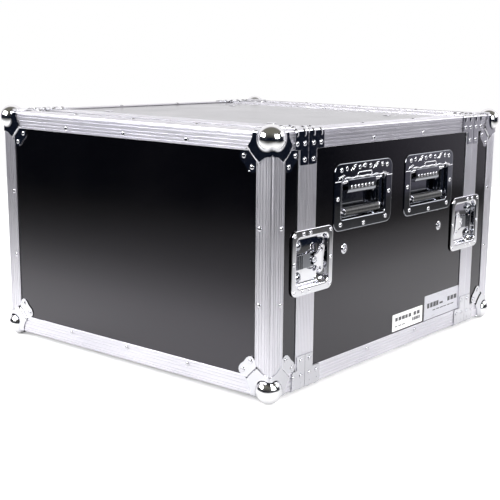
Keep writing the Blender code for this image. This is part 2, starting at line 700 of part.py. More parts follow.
def lid_edge_frame(end):
    """Angle extrusion round the lid's face, with a short angle running back along each corner."""
    name = f"{end_name(end)}_lid_edge_frame"
    profile = angle_profile()
    loops = [rectangle_loop(inset, FLANGE) for _, inset in profile]
    size = len(loops[0])
    points = [(x, end * (HALF_Y - along), Z_MID + z) for (along, _), loop in zip(profile, loops) for x, z in loop]
    faces = []
    last = len(profile) - 1
    per_corner = size // 4
    for i in range(len(profile)):
        j = (i + 1) % len(profile)
        for k in range(size):
            m = (k + 1) % size
            on_leg = i == last and k % per_corner != per_corner - 1
            if not on_leg:
                faces.append((i * size + k, i * size + m, j * size + m, j * size + k))
    leg_y = end * (HALF_Y - lid_depth(end) + RING + GAP)
    for corner in range(4):
        first = len(points)
        ids = [corner * per_corner + k for k in range(per_corner)]
        for base in (0, last):
            for k in ids:
                x, _, z = points[base * size + k]
                points.append((x, leg_y, z))
        for k in range(per_corner - 1):
            faces.append((ids[k], ids[k + 1], first + k + 1, first + k))
            inner = last * size
            faces.append((inner + ids[k], inner + ids[k + 1], first + per_corner + k + 1, first + per_corner + k))
            faces.append((first + k, first + k + 1, first + per_corner + k + 1, first + per_corner + k))
        for k in (0, per_corner - 1):
            faces.append((ids[k], last * size + ids[k], first + per_corner + k, first + k))
    frame = make_object(name, points, faces, "aluminium")
    for cutter in corner_cutters(end):
        combine(frame, [cutter], "DIFFERENCE")


def lid_wall_frame(end):
    """The lid's four plywood walls, joined at the corners."""
    depth = lid_depth(end) - PLY_START
    profile = [(PLY_EDGE, PLY_OUT), (depth, PLY_OUT), (depth, PLY_IN), (PLY_EDGE, PLY_IN)]
    walls = swept_ring(f"{end_name(end)}_lid_walls", profile, end * HALF_Y, -end, "laminate")
    for cutter in corner_cutters(end):
        combine(walls, [cutter], "DIFFERENCE")
    notch = LATCH_OPEN_Z + SHEET + GAP
    seam = SEAM[end]
    y_ends = sorted((seam - end * PAST, seam + end * (LATCH_LID - LATCH_RIM + SHEET + GAP)))
    for sx in (-1, 1):
        x_ends = sorted((sx * (HALF_X + PAST), sx * (HALF_X - PLY_IN - PAST)))
        cutter = box("notch", (x_ends[0], y_ends[0], Z_MID + LATCH_Z - notch),
                     (x_ends[1], y_ends[1], Z_MID + LATCH_Z + notch))
        combine(walls, [cutter], "DIFFERENCE")


def lid_panel(end):
    """Front or rear plywood face, with its corners cut back behind the ball corners."""
    x = HALF_X - PLY_EDGE
    z = HALF_Z - PLY_EDGE
    cx = HALF_X - CORNER_CUT
    cz = HALF_Z - CORNER_CUT
    outline = [(x, -cz), (x, cz), (cx, cz), (cx, z), (-cx, z), (-cx, cz), (-x, cz), (-x, -cz), (-cx, -cz),
               (-cx, -z), (cx, -z), (cx, -cz)]

    def place(a, b, c):
        return (a, end * (HALF_Y - c), Z_MID + b)

    prism(f"{end_name(end)}_lid_panel", outline, place, PLY_OUT, PLY_IN, "laminate")


def lid_foam(end):
    """Foam pad inside the lid's face."""
    x = HALF_X - CORE - FOAM_CLEAR
    z = HALF_Z - CORE - FOAM_CLEAR
    outline = rounded_outline((-x, -z), (x, z), FOAM_CORNER, 2)

    def place(a, b, c):
        return (a, end * (HALF_Y - c), Z_MID + b)

    start = CORE + GAP
    prism(f"{end_name(end)}_lid_foam", outline, place, start, start + FOAM_THICK, "foam")


def ball_corner_sheet():
    """Outer and inner points and the faces of the three petals, joined round the three edges.

    Local axes (p, q, r): each is the distance from one outer face of the case.
    """
    high = -(GAP + PETAL_THICK)
    low = GAP
    hole_start = math.sqrt(BALL_HOLE ** 2 - (BALL_IN - NOSE) ** 2)
    hole_turn = math.degrees(math.asin((BALL_IN - NOSE) / BALL_HOLE))
    half_face = [(BALL_IN + hole_start, NOSE, high), (PETAL_REACH, NOSE, high)]
    half_face += [(a, b, high) for a, b in PETAL_FLARE]
    half_face += [(a, b, low) for a, b in PETAL_LOBE]
    raised = 2 + len(PETAL_FLARE)
    outer = []
    inner = []
    faces = []
    sides = {}

    def add(outer_point, inner_point):
        outer.append(outer_point)
        inner.append(inner_point)
        return len(outer) - 1

    def on_face(normal, a, b, level):
        points = []
        for depth in (level, level + PETAL_THICK):
            point = [a, b]
            point.insert(normal, depth)
            points.append(tuple(point))
        return add(*points)

    for normal in range(3):
        first = [on_face(normal, a, b, level) for a, b, level in half_face]
        second = [on_face(normal, b, a, level) for a, b, level in half_face]
        hole = arc((BALL_IN, BALL_IN), BALL_HOLE, 90.0 + hole_turn, -hole_turn, HOLE_STEPS)[1:-1]
        circle = [on_face(normal, a, b, high) for a, b in hole]
        faces.append(first[:raised] + second[raised - 1::-1] + circle)
        faces.append([first[raised - 1], first[raised], second[raised], second[raised - 1]])
        faces.append(first[raised:] + second[:raised - 1:-1])
        along = [axis for axis in range(3) if axis != normal]
        sides[(normal, along[0])] = first
        sides[(normal, along[1])] = second

    outer_mid = NOSE - (NOSE - high) * math.sqrt(0.5)
    inner_mid = NOSE - (NOSE - high - PETAL_THICK) * math.sqrt(0.5)
    for edge in range(3):
        normals = [axis for axis in range(3) if axis != edge]
        middle = []
        for reach in (half_face[0][0], half_face[1][0]):
            points = []
            for level in (outer_mid, inner_mid):
                point = [level, level]
                point.insert(edge, reach)
                points.append(tuple(point))
            middle.append(add(*points))
        for normal in normals:
            side = sides[(normal, edge)]
            faces.append([side[0], side[1], middle[1], middle[0]])
    return outer, inner, faces


def sphere(name, centre, radius, material):
    bm = bmesh.new()
    place = Matrix.Translation(Vector(centre) * MM)
    bmesh.ops.create_uvsphere(bm, u_segments=BALL_SIDES, v_segments=BALL_SIDES // 2, radius=radius * MM,
                              matrix=place)
    mesh = bpy.data.meshes.new(name)
    bm.to_mesh(mesh)
    bm.free()
    mesh.materials.append(MATERIALS[material])
    obj = bpy.data.objects.new(name, mesh)
    bpy.context.scene.collection.objects.link(obj)
    return obj


def ball_corners():
    """Eight pressed steel corners; one is built and the others are its mirror images."""
    def place(point):
        p, q, r = point
        return (HALF_X - p, -HALF_Y + q, Z_MID + HALF_Z - r)

    centre = place((BALL_IN, BALL_IN, BALL_IN))
    ball = sphere("ball_corner_front_top_right", centre, BALL_R, "plated_steel")
    hollow = sphere("hollow", centre, BALL_R - BALL_WALL, "plated_steel")
    combine(ball, [hollow], "DIFFERENCE")
    low = place((BALL_CLIP, -2 * BALL_PROUD, BALL_CLIP))
    high = place((-2 * BALL_PROUD, BALL_CLIP, -2 * BALL_PROUD))
    combine(ball, [box("clip", low, high)], "INTERSECT")
    outer, inner, faces = ball_corner_sheet()
    petals = sheet("petals", [place(p) for p in outer], [place(p) for p in inner], faces, "plated_steel")
    combine(ball, [petals], "UNION")
    smooth(ball)

    for end in (-1, 1):
        for sz in (1, -1):
            for sx in (1, -1):
                if (end, sz, sx) == (-1, 1, 1):
                    continue
                flip = Matrix.Diagonal((sx, -end, sz, 1.0))
                level = Matrix.Translation((0, 0, Z_MID * MM))
                matrix = level @ flip @ level.inverted()
                moved_copy(ball, f"ball_corner_{end_name(end)}_{level_name(sz)}_{side_name(sx)}", matrix)


def build():
    body_panels()
    body_edges()
    for end in (-1, 1):
        seam_ring(f"{end_name(end)}_groove_ring", "body", end)
        seam_ring(f"{end_name(end)}_tongue_ring", "lid", end)
        lid_edge_frame(end)
        lid_wall_frame(end)
        lid_panel(end)
        lid_foam(end)
        for sx in (-1, 1):
            handle_dish(sx, end)
            handle_bail(sx, end)
            latch_set(sx, end)
    ball_corners()
    rack_rails()


clear_scene()
MATERIALS = make_materials()
build()
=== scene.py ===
"""Looks of the equipment rack case: detailed extrusions, hardware, fixings and labels on the CAD frame.

Sizes are in millimetres in the case's own frame (+Z up, front lid towards -Y) and become metres when a
mesh is made.
"""
import math

import bmesh
import bpy
from mathutils import Matrix, Vector
from mathutils.geometry import delaunay_2d_cdt


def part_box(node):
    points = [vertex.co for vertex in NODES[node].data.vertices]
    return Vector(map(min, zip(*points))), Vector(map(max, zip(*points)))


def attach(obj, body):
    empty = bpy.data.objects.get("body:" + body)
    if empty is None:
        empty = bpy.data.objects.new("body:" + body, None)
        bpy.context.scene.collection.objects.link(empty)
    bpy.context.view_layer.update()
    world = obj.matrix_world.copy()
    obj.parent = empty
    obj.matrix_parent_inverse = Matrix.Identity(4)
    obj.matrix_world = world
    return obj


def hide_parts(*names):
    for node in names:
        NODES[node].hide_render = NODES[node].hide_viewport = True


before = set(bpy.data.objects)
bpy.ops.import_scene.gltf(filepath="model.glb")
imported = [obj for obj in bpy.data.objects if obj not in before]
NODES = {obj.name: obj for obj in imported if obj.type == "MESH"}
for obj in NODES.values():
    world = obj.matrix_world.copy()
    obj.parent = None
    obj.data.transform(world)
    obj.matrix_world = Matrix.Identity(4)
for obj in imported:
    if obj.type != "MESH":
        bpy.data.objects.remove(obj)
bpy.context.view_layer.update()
MM = 0.001

# ---- Case, read from the frame
FACE_LOW, FACE_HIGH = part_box("front_lid_edge_frame")
HALF_X = FACE_HIGH.x / MM
HALF_Y = -FACE_LOW.y / MM
HALF_Z = (FACE_HIGH.z - FACE_LOW.z) / MM / 2
Z_MID = (FACE_HIGH.z + FACE_LOW.z) / MM / 2
GAP = 0.3                      # between neighbouring parts
SEAM = {-1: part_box("front_groove_ring")[0].y / MM - GAP / 2,
        1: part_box("rear_groove_ring")[1].y / MM + GAP / 2}
END = {-1: "front", 1: "rear"}
SIDE = {-1: "left", 1: "right"}
LEVEL = {-1: "bottom", 1: "top"}

# ---- Dimensions that the frame does not state by itself; depths count inwards from the outer faces
# Panels and extrusions
PLY_OUT = 1.8                  # depth of the plywood's outer face
PLY_IN = 11.3                  # and of its inner face
SKIN = 1.5
CORE = 13.1                    # depth of the extrusions' inner face
FLANGE = 30.0                  # width of the bars' outer flanges
INNER_LEG = 28.0
NOSE = 4.0                     # radius of the case's long edges
WEB = 1.414                    # the bars' diagonal web, measured along an axis
BAR_GROOVES = (6.2, 10.5, 17.0, 22.0, 27.2)
GROOVE_HALF = 1.0
GROOVE_DEEP = 0.75
BAR_END = FLANGE + 0.6
RING = 22.5                    # width of the seam strips
RING_WEB = 8.0
RING_INNER = 20.0
STRIP_GROOVES = (3.6, 7.4, 11.2, 15.0, 18.6)
STRIP_GROOVE_HALF = 0.6
STRIP_GROOVE_DEEP = 0.5
TONGUE = 3.6                   # how far the lids' tongue reaches over the seam
TONGUE_DEPTHS = (5.6, 8.6)
GROOVE_IN = 4.0                # how far the groove that takes it reaches in
GROOVE_DEPTHS = (5.3, 8.9)
SHEET = 1.2                    # pressed steel

# Clamps over the seam
CLAMP_THICK = 1.2
CLAMP_WIDE = {"lid": 32.0, "body": 39.0}
CLAMP_DEPTH = 30.5
CLAMP_STEM = 20.0
CLAMP_STEM_DEPTH = 53.4
RIB_HIGH = 1.0

# Ball corners
BALL_R = 20.5
BALL_WALL = 1.5
BALL_IN = BALL_R - (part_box("ball_corner_front_top_right")[1].x / MM - HALF_X)
BALL_CLIP = 28.2               # depth at which the ball ends inside the case
SKIRT = 4.2                    # size of the fillet between the ball and the petals
PETAL_THICK = 1.2
CREASE = 70.0                  # sum of two depths where the petals step down to the panel
PETAL_RIVETS = ((38.0, 53.5), (53.5, 38.0))

# Latches
LATCH_Z = -1.5
LATCH_HALF_Z = 50.5
LATCH_REACH = {"body": 67.0, "lid": 36.7}
LATCH_RIM = 12.0
LATCH_OPEN_Z = 38.0            # half height of the dish's mouth
LATCH_CORNER = 12.0
LATCH_FLOOR = 9.3
LATCH_RIVET_R = 3.4
FLOOR_SAG = 1.7
FLAT_EDGE = 0.7                # narrow strip that keeps a pressed rim flat up to its rounded edges
KEEPER_DOME = 24.5             # height of each keeper dome from the latch's middle
DOME_R = 9.4
DOME_HIGH = 5.6
ROTOR_AT = 24.0                # from the seam
ROTOR_R = 13.0
BOSS_R = 4.2
HOOK_TRAVEL = 6.0
HOOK_HALF = 11.0
RIB_R = 2.3                    # ribs of the hook's nose
WING_REACH = 23.0
WING_HALF = 23.0
WING_LEAN = 0.085              # slope of the resting wing, its top edge outwards

# Handles; heights count from the plate's middle, which lies HANDLE_Z above the case's middle
HANDLE_OFFSET = 103.5
HANDLE_Z = 87.5
HANDLE_HALF = (83.0, 53.5)
HANDLE_CORNER = 15.0
PAN_HALF = 63.0
PAN_LOW = 52.0 - HANDLE_Z
PAN_HIGH = 115.0 - HANDLE_Z
PAN_DEPTH = 22.0
BAIL_UP = 110.6 - HANDLE_Z     # height of the bail's axle
BAIL_DEPTH = 8.0
BAIL_HALF = 57.0
BAIL_DROP = 48.5
BAIL_R = 3.5
STUB = 60.8                    # ends of the axle
GRIP_HALF = 49.0
GRIP_R = 7.0
COVER_HALF = 40.0
COVER_LOW = 92.0 - HANDLE_Z
BUMP_AT = (-50.0, -14.0, 17.0, 52.0)
BUMP_UP = 45.0
SLOT_UP = 33.5
HANDLE_RIVETS = ((-65.0, 43.5), (0.0, 47.0), (66.0, 43.5), (-73.5, -1.5), (73.5, -1.5), (-65.0, -43.0),
                 (0.0, -47.0), (65.0, -43.0))

# Foam, labels and loose fixings
FOAM_CLEAR = 6.0
FOAM_CORNER = 30.0
FOAM_THICK = 20.0
LABEL_THICK = 0.15
CUP_R = 8.25
RIVET_IN = 22.5                # depth of the rivet rows from the long edges
BODY_RIVETS = (-85.0, 70.0)
FACE_RIVET_Z = 57.5
FACE_RIVET_X = (-139.0, 0.0, 139.0)
BOLT_Y = {-1: -158.6, 1: 140.7}
BOLT_Z = 4.2
TOP_BOLT_X = 190.0
TOP_BOLT_Y = {-1: -203.0, 1: 135.0}

# ---- Camera
CAMERA = {"azimuth": 36.973, "elevation": 11.605, "roll": 1.1035, "distance": 2000.0,
          "target": (30.36, 108.1, 110.62 + Z_MID - HALF_Z), "lens": 72.61, "shift": (-0.1131, 0.0153)}


# ---- Materials
def new_material(name, colour, roughness, metallic):
    material = bpy.data.materials.new(name)
    material.use_nodes = True
    shader = material.node_tree.nodes["Principled BSDF"]
    shader.inputs["Base Color"].default_value = (*colour, 1.0)
    shader.inputs["Roughness"].default_value = roughness
    shader.inputs["Metallic"].default_value = metallic
    return material, material.node_tree, shader


def add_node(tree, kind, **values):
    node = tree.nodes.new(kind)
    for key, value in values.items():
        if key in node.inputs:
            node.inputs[key].default_value = value
        else:
            setattr(node, key, value)
    return node


EVEN = (1.0, 1.0, 1.0)


def stretched_noise(tree, scale, stretch, detail):
    """Noise in object space, stretched by a factor for each axis."""
    place = add_node(tree, "ShaderNodeTexCoord")
    mapping = add_node(tree, "ShaderNodeMapping")
    mapping.inputs["Scale"].default_value = stretch
    noise = add_node(tree, "ShaderNodeTexNoise", Scale=scale, Detail=detail)
    tree.links.new(place.outputs["Object"], mapping.inputs["Vector"])
    tree.links.new(mapping.outputs["Vector"], noise.inputs["Vector"])
    return noise.outputs["Fac"]


def remap(tree, source, low, high, from_low=0.3, from_high=0.7):
    """Value stretched to run from low to high; a noise mostly stays between 0.3 and 0.7."""
    node = tree.nodes.new("ShaderNodeMapRange")
    limits = {"From Min": from_low, "From Max": from_high, "To Min": low, "To Max": high}
    for key, value in limits.items():
        node.inputs[key].default_value = value
    tree.links.new(source, node.inputs["Value"])
    return node.outputs["Result"]


def colour_ramp(tree, source, stops):
    """Colour that follows (position, colour) stops along a value."""
    ramp = tree.nodes.new("ShaderNodeValToRGB")
    elements = ramp.color_ramp.elements
    while len(elements) < len(stops):
        elements.new(0.5)
    for element, (position, colour) in zip(elements, stops):
        element.position = position
        element.color = (*colour, 1.0)
    tree.links.new(source, ramp.inputs["Fac"])
    return ramp.outputs["Color"]


def tint(tree, shader, source, dark, light):
    """Lets the base colour wander between two tones."""
    tree.links.new(colour_ramp(tree, source, ((0.3, dark), (0.7, light))), shader.inputs["Base Color"])


def add_bump(tree, shader, height, strength, distance):
    bump = add_node(tree, "ShaderNodeBump", Strength=strength, Distance=distance)
    tree.links.new(height, bump.inputs["Height"])
    tree.links.new(bump.outputs["Normal"], shader.inputs["Normal"])


def grained(name, colour, metallic, scale, detail, roughness, stretch=EVEN):
    """Material whose roughness wanders between two values with a noise, which is returned as well."""
    material, tree, shader = new_material(name, colour, sum(roughness) / 2, metallic)
    noise = stretched_noise(tree, scale, stretch, detail)
    tree.links.new(remap(tree, noise, *roughness), shader.inputs["Roughness"])
    return material, tree, shader, noise


def aluminium(axis):
    """Anodised extrusion with draw lines along one axis and slow variation of its sheen."""
    stretch = [1.0, 1.0, 1.0]
    stretch[axis] = 0.012
    material, tree, shader, lines = grained(f"aluminium_{'xyz'[axis]}", (0.70, 0.69, 0.74), 1.0, 2600.0, 3.0,
                                            (0.28, 0.42), stretch)
    patches = stretched_noise(tree, 6.0, EVEN, 2.0)
    tint(tree, shader, patches, (0.66, 0.65, 0.71), (0.74, 0.73, 0.78))
    add_bump(tree, shader, lines, 0.45, 0.00014)
    return material


def laminate():
    """Black phenolic laminate with a fine pebbled texture."""
    material, tree, shader, _ = grained("laminate", (0.0005, 0.0005, 0.0007), 0.0, 9.0, 3.0, (0.11, 0.15))
    shader.inputs["IOR"].default_value = 1.65
    shader.inputs["Specular Tint"].default_value = (0.93, 0.89, 1.0, 1.0)
    pebble = stretched_noise(tree, 1400.0, EVEN, 2.0)
    add_bump(tree, shader, pebble, 0.12, 0.00012)
    return material


def plated_steel():
    """Bright zinc- or nickel-plated sheet: a sharp mirror with faint handling marks."""
    material, tree, shader, marks = grained("plated_steel", (0.62, 0.62, 0.66), 1.0, 160.0, 4.0, (0.05, 0.12))
    add_bump(tree, shader, marks, 0.02, 0.0003)
    return material


def painted_highlight_steel():
    """The latches' plating, brightened above the sheet's as a painted highlight that paints lighter
    reflections on the latches and on the handles' stampings and dimples.
    """
    return grained("painted_highlight_steel", (0.80, 0.80, 0.84), 1.0, 120.0, 4.0, (0.04, 0.1))[0]


def painted_shade_steel():
    """Plated steel darkened to paint the shade and dark reflections of the handles' dishes and the latches'
    inner parts.
    """
    material, tree, shader, marks = grained("painted_shade_steel", (0.30, 0.31, 0.34), 1.0, 140.0, 4.0, (0.04, 0.1))
    add_bump(tree, shader, marks, 0.02, 0.0003)
    return material


def ball_steel():
    """The ball's own plating, more satin than the sheet."""
    return grained("ball_steel", (0.78, 0.78, 0.80), 1.0, 90.0, 4.0, (0.09, 0.15))[0]


def rubber():
    """Moulded black rubber of the grips."""
    material, tree, shader, grain = grained("rubber", (0.012, 0.012, 0.013), 0.0, 400.0, 3.0, (0.26, 0.4))
    add_bump(tree, shader, grain, 0.15, 0.0002)
    return material


def paper():
    """White sticker with a faint fibre."""
    material, tree, shader = new_material("paper", (0.80, 0.80, 0.80), 0.5, 0.0)
    tint(tree, shader, stretched_noise(tree, 300.0, EVEN, 4.0), (0.74, 0.74, 0.75), (0.84, 0.84, 0.83))
    return material


def foil():
    """Brushed silver sticker."""
    return grained("foil", (0.70, 0.70, 0.76), 1.0, 500.0, 3.0, (0.26, 0.42), (1.0, 0.05, 1.0))[0]


def ink():
    """Printed black, worn grey in places."""
    material, tree, shader = new_material("ink", (0.03, 0.03, 0.035), 0.45, 0.0)
    tint(tree, shader, stretched_noise(tree, 800.0, EVEN, 3.0), (0.02, 0.02, 0.025), (0.09, 0.09, 0.1))
    return material


def black_steel():
    """Black powder coat of the rack rails."""
    material, tree, shader, grain = grained("black_steel", (0.02, 0.02, 0.021), 0.0, 700.0, 3.0, (0.32, 0.46))
    add_bump(tree, shader, grain, 0.1, 0.0002)
    return material


def foam_material():
    """Dark open-cell foam."""
    material, tree, shader = new_material("foam", (0.035, 0.035, 0.04), 0.95, 0.0)
    cells = add_node(tree, "ShaderNodeTexVoronoi", Scale=650.0)
    place = add_node(tree, "ShaderNodeTexCoord")
    tree.links.new(place.outputs["Object"], cells.inputs["Vector"])
    add_bump(tree, shader, cells.outputs["Distance"], 0.6, 0.0012)
    return material


# Two copies of the plating carry painted light: one darkened as painted shade, one brightened as a painted
# highlight.
MATERIALS = {"aluminium_x": aluminium(0), "aluminium_y": aluminium(1), "aluminium_z": aluminium(2),
             "laminate": laminate(), "plated_steel": plated_steel(), "black_steel": black_steel(),
             "foam": foam_material(), "ball_steel": ball_steel(), "painted_highlight_steel": painted_highlight_steel(),
             "painted_shade_steel": painted_shade_steel(), "rubber": rubber(), "paper": paper(), "foil": foil(), "ink": ink()}


# ---- Camera, floor and light
def add_object(name, data):
    obj = bpy.data.objects.new(name, data)
    bpy.context.scene.collection.objects.link(obj)
    return obj


def make_camera():
    azimuth = math.radians(CAMERA["azimuth"])
    elevation = math.radians(CAMERA["elevation"])
    roll = math.radians(CAMERA["roll"])
    back = Vector((math.sin(azimuth) * math.cos(elevation), -math.cos(azimuth) * math.cos(elevation),
                   math.sin(elevation)))
    right = Vector((math.cos(azimuth), math.sin(azimuth), 0.0))
    up = back.cross(right)
    rolled_right = math.cos(roll) * right + math.sin(roll) * up
    rolled_up = back.cross(rolled_right)
    data = bpy.data.cameras.new("camera")
    data.lens = CAMERA["lens"]
    data.sensor_width = 36.0
    data.shift_x, data.shift_y = CAMERA["shift"]
    data.clip_start = 0.05
    data.clip_end = 50.0
    camera = add_object("camera", data)
    place = Matrix((rolled_right, rolled_up, back)).transposed().to_4x4()
    place.translation = (Vector(CAMERA["target"]) + back * CAMERA["distance"]) * MM
    camera.matrix_world = place
    bpy.context.scene.camera = camera


FLOOR_X = (-2.2, 1.4)               # reach of the white sheet, in metres
FLOOR_Y = (-1.6, 2.2)
FLOOR_WHITE = (0.9, 0.9, 0.9)
FLOOR_GLOW = 0.35                   # glow that only the camera sees; it softens the case's shadow
# (metres, value) stops: brightness of the sheet to everything but the camera
SHADE_X = ((0.2, 0.8), (0.5, 0.6), (0.7, 0.5), (0.85, 0.29), (1.0, 0.19), (1.08, 0.03), (1.15, 0.006))
SHADE_Y = ((-1.5, 0.01), (-1.2, 0.05), (-0.98, 0.13), (-0.79, 0.37), (-0.645, 0.66), (-0.5, 0.86),
           (-0.3, 1.0))


def fade(tree, source, stops):
    """Grey that follows (position, value) stops along one coordinate."""
    first = stops[0][0]
    span = stops[-1][0] - first
    along = remap(tree, source, 0.0, 1.0, first, first + span)
    return colour_ramp(tree, along, [((place - first) / span, (value,) * 3) for place, value in stops])


def mix_colours(tree, first, second, blend="MIX"):
    """Mix node of two colours; its factor is its input "Factor" and its colour its output 2."""
    mix = add_node(tree, "ShaderNodeMix", data_type="RGBA", blend_type=blend)
    mix.inputs["Factor"].default_value = 1.0
    tree.links.new(first, mix.inputs[6])
    if second:
        tree.links.new(second, mix.inputs[7])
    return mix


def make_floor():
    """White sheet for the camera; for reflections it fades towards its right and front edges."""
    mesh = bpy.data.meshes.new("floor")
    mesh.from_pydata([(x, y, 0.0) for x, y in ((FLOOR_X[0], FLOOR_Y[0]), (FLOOR_X[1], FLOOR_Y[0]),
                                              (FLOOR_X[1], FLOOR_Y[1]), (FLOOR_X[0], FLOOR_Y[1]))],
                     [], [(0, 1, 2, 3)])
    material, tree, shader = new_material("floor", FLOOR_WHITE, 0.6, 0.0)
    place = tree.nodes.new("ShaderNodeNewGeometry")
    split = tree.nodes.new("ShaderNodeSeparateXYZ")
    path = tree.nodes.new("ShaderNodeLightPath")
    tree.links.new(place.outputs["Position"], split.inputs["Vector"])
    both = mix_colours(tree, fade(tree, split.outputs["X"], SHADE_X), fade(tree, split.outputs["Y"], SHADE_Y),
                       "MULTIPLY")
    seen = mix_colours(tree, both.outputs[2], None)
    seen.inputs[7].default_value = (*FLOOR_WHITE, 1.0)
    tree.links.new(path.outputs["Is Camera Ray"], seen.inputs["Factor"])
    tree.links.new(seen.outputs[2], shader.inputs["Base Color"])
    glow = add_node(tree, "ShaderNodeMath", operation="MULTIPLY")
    glow.inputs[1].default_value = FLOOR_GLOW
    tree.links.new(path.outputs["Is Camera Ray"], glow.inputs[0])
    shader.inputs["Emission Color"].default_value = (1.0, 1.0, 1.0, 1.0)
    tree.links.new(glow.outputs["Value"], shader.inputs["Emission Strength"])
    mesh.materials.append(material)
    add_object("floor", mesh)


ROOM_STRENGTH = 1.02
ROOM_RISE = 0.12                    # upward part of the direction to the bright wall
ROOM_WALL = ((0.29, (0.006, 0.009, 0.018)), (0.36, (0.2, 0.19, 0.23)), (0.56, (0.98, 0.97, 1.0)))
ROOM_CEILING = ((0.08, (0.0, 0.0, 0.0)), (0.75, (0.19, 0.18, 0.14)))


def make_world():
    """White backdrop for the camera; a dim room with a bright wall behind the case for reflections."""
    world = bpy.data.worlds.new("studio")
    bpy.context.scene.world = world
    world.use_nodes = True
    tree = world.node_tree
    tree.nodes.clear()
    output = tree.nodes.new("ShaderNodeOutputWorld")
    seen = add_node(tree, "ShaderNodeBackground", Color=(1.0, 1.0, 1.0, 1.0), Strength=1.0)
    room = add_node(tree, "ShaderNodeBackground", Strength=ROOM_STRENGTH)
    mix = tree.nodes.new("ShaderNodeMixShader")
    path = tree.nodes.new("ShaderNodeLightPath")
    place = tree.nodes.new("ShaderNodeTexCoord")

    def towards(direction, stops):
        """Colour by how far a ray turns towards a direction."""
        turn = add_node(tree, "ShaderNodeVectorMath", operation="DOT_PRODUCT")
        turn.inputs[1].default_value = direction
        tree.links.new(place.outputs["Generated"], turn.inputs[0])
        return colour_ramp(tree, turn.outputs["Value"], stops)

    azimuth = math.radians(CAMERA["azimuth"])
    wall = towards((-math.sin(azimuth), math.cos(azimuth), ROOM_RISE), ROOM_WALL)
    total = mix_colours(tree, wall, towards((0.0, 0.0, 1.0), ROOM_CEILING), "ADD")
    tree.links.new(total.outputs[2], room.inputs["Color"])
    tree.links.new(path.outputs["Is Camera Ray"], mix.inputs["Fac"])
    tree.links.new(room.outputs["Background"], mix.inputs[1])
    tree.links.new(seen.outputs["Background"], mix.inputs[2])
    tree.links.new(mix.outputs["Shader"], output.inputs["Surface"])


# Place, target and size in metres, and watts
LIGHTS = {"overhead": ((0.0, 0.1, 2.3), (0.0, 0.0, 0.0), (2.6, 2.6), 80.0),
          "left_box": ((-1.05, -1.8, 1.2), (0.0, -0.2, 0.8), (1.6, 0.9), 62.0),
          "right_box": ((2.0, -0.35, 1.0), (0.2, -0.1, 0.8), (1.2, 0.9), 44.0),
          "back_box": ((1.45, 1.55, 1.2), (0.3, 0.3, 0.5), (1.3, 0.8), 10.0)}


def make_lights():
    """Area lights; the overhead one isn't mirrored by the case."""
    for name, (place, target, size, power) in LIGHTS.items():
        data = bpy.data.lights.new(name, "AREA")
        data.shape = "RECTANGLE"
        data.size, data.size_y = size
        data.energy = power
        light = add_object(name, data)
        aim = (Vector(target) - Vector(place)).to_track_quat("-Z", "Y")
        light.matrix_world = Matrix.Translation(place) @ aim.to_matrix().to_4x4()
        light.visible_glossy = name != "overhead"


# ---- Building blocks
class Shape:
    """Points and faces of one piece, in millimetres."""

    def __init__(self):
        self.points = []
        self.faces = []

    def add(self, points, faces):
        base = len(self.points)
        self.points += [tuple(point) for point in points]
        self.faces += [tuple(i + base for i in face) for face in faces]


class Plane:
    """A flat working frame: a and b run in the plane and c stands out of it."""

    def __init__(self, origin, a, b, c):
        self.origin = Vector(origin)
        self.a = Vector(a)
        self.b = Vector(b)
        self.c = Vector(c)

    def at(self, a, b, c):
        return self.origin + self.a * a + self.b * b + self.c * c


def side_plane(sx):
    """Left or right face of the case: a runs along Y and b upwards from the middle."""
    return Plane((sx * HALF_X, 0, Z_MID), (0, 1, 0), (0, 0, 1), (sx, 0, 0))


def level_plane(sz):
    """Bottom or top face: a runs along X and b along Y."""
    return Plane((0, 0, Z_MID + sz * HALF_Z), (1, 0, 0), (0, 1, 0), (0, 0, sz))


def end_plane(end):
    """Front or rear face: a runs along X and b upwards from the middle."""
    return Plane((0, end * HALF_Y, Z_MID), (1, 0, 0), (0, 0, 1), (0, end, 0))


def edge_line(sx, sz):
    """Places points on one long edge: depth from the side, depth from the bottom or top, and Y."""
    return lambda u, v, y: (sx * (HALF_X - u), y, Z_MID + sz * (HALF_Z - v))


def part_body(part, end):
    """The body that a lid's or the case body's half of something rides on."""
    return f"{END[end]}_lid" if part == "lid" else "case_body"


def away(part, end):
    """Sense of Y that leads from the seam into the lid or into the case body."""
    return end if part == "lid" else -end


def finish_mesh(mesh, sharp):
    mesh.shade_smooth()
    mesh.set_sharp_from_angle(angle=math.radians(sharp))


def settle(obj, sharp=35.0):
    """Applies the modifiers and shades the result."""
    graph = bpy.context.evaluated_depsgraph_get()
    result = bpy.data.meshes.new_from_object(obj.evaluated_get(graph))
    obj.modifiers.clear()
    obj.data = result
    result.name = obj.name
    finish_mesh(result, sharp)
    return obj


PIECES = []


def flatten_shading():
    """Keeps the flat faces flat where they run into rounded edges."""
    for piece in PIECES:
        weighted = piece.modifiers.new("weighted", "WEIGHTED_NORMAL")
        weighted.keep_sharp = True
        weighted.weight = 80


def claim(obj, body, stands_for):
    """Gives an object its body and the CAD node it stands for."""
    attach(obj, body)
    if stands_for:
        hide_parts(stands_for)
    PIECES.append(obj)
    return obj


def mesh_of(name, points, faces, outward=None):
    """Closed or open mesh from millimetre points; outward turns an open sheet's face that way."""
    mesh = bpy.data.meshes.new(name)
    mesh.from_pydata([tuple(value * MM for value in point) for point in points], [], faces)
    bm = bmesh.new()
    bm.from_mesh(mesh)
    bmesh.ops.remove_doubles(bm, verts=bm.verts, dist=1e-6)
    bmesh.ops.recalc_face_normals(bm, faces=bm.faces)
    if outward and sum(face.calc_area() * face.normal.dot(Vector(outward)) for face in bm.faces) < 0:
        bmesh.ops.reverse_faces(bm, faces=bm.faces)
    bm.to_mesh(mesh)
    bm.free()
    return mesh


def make_piece(name, shape, finish, body, stands_for=None, outward=None, sharp=35.0):
    """Turns a shape into an object that rides on a body."""
    mesh = mesh_of(name, shape.points, shape.faces, outward)
    mesh.materials.append(MATERIALS[finish])
    finish_mesh(mesh, sharp)
    return claim(add_object(name, mesh), body, stands_for)


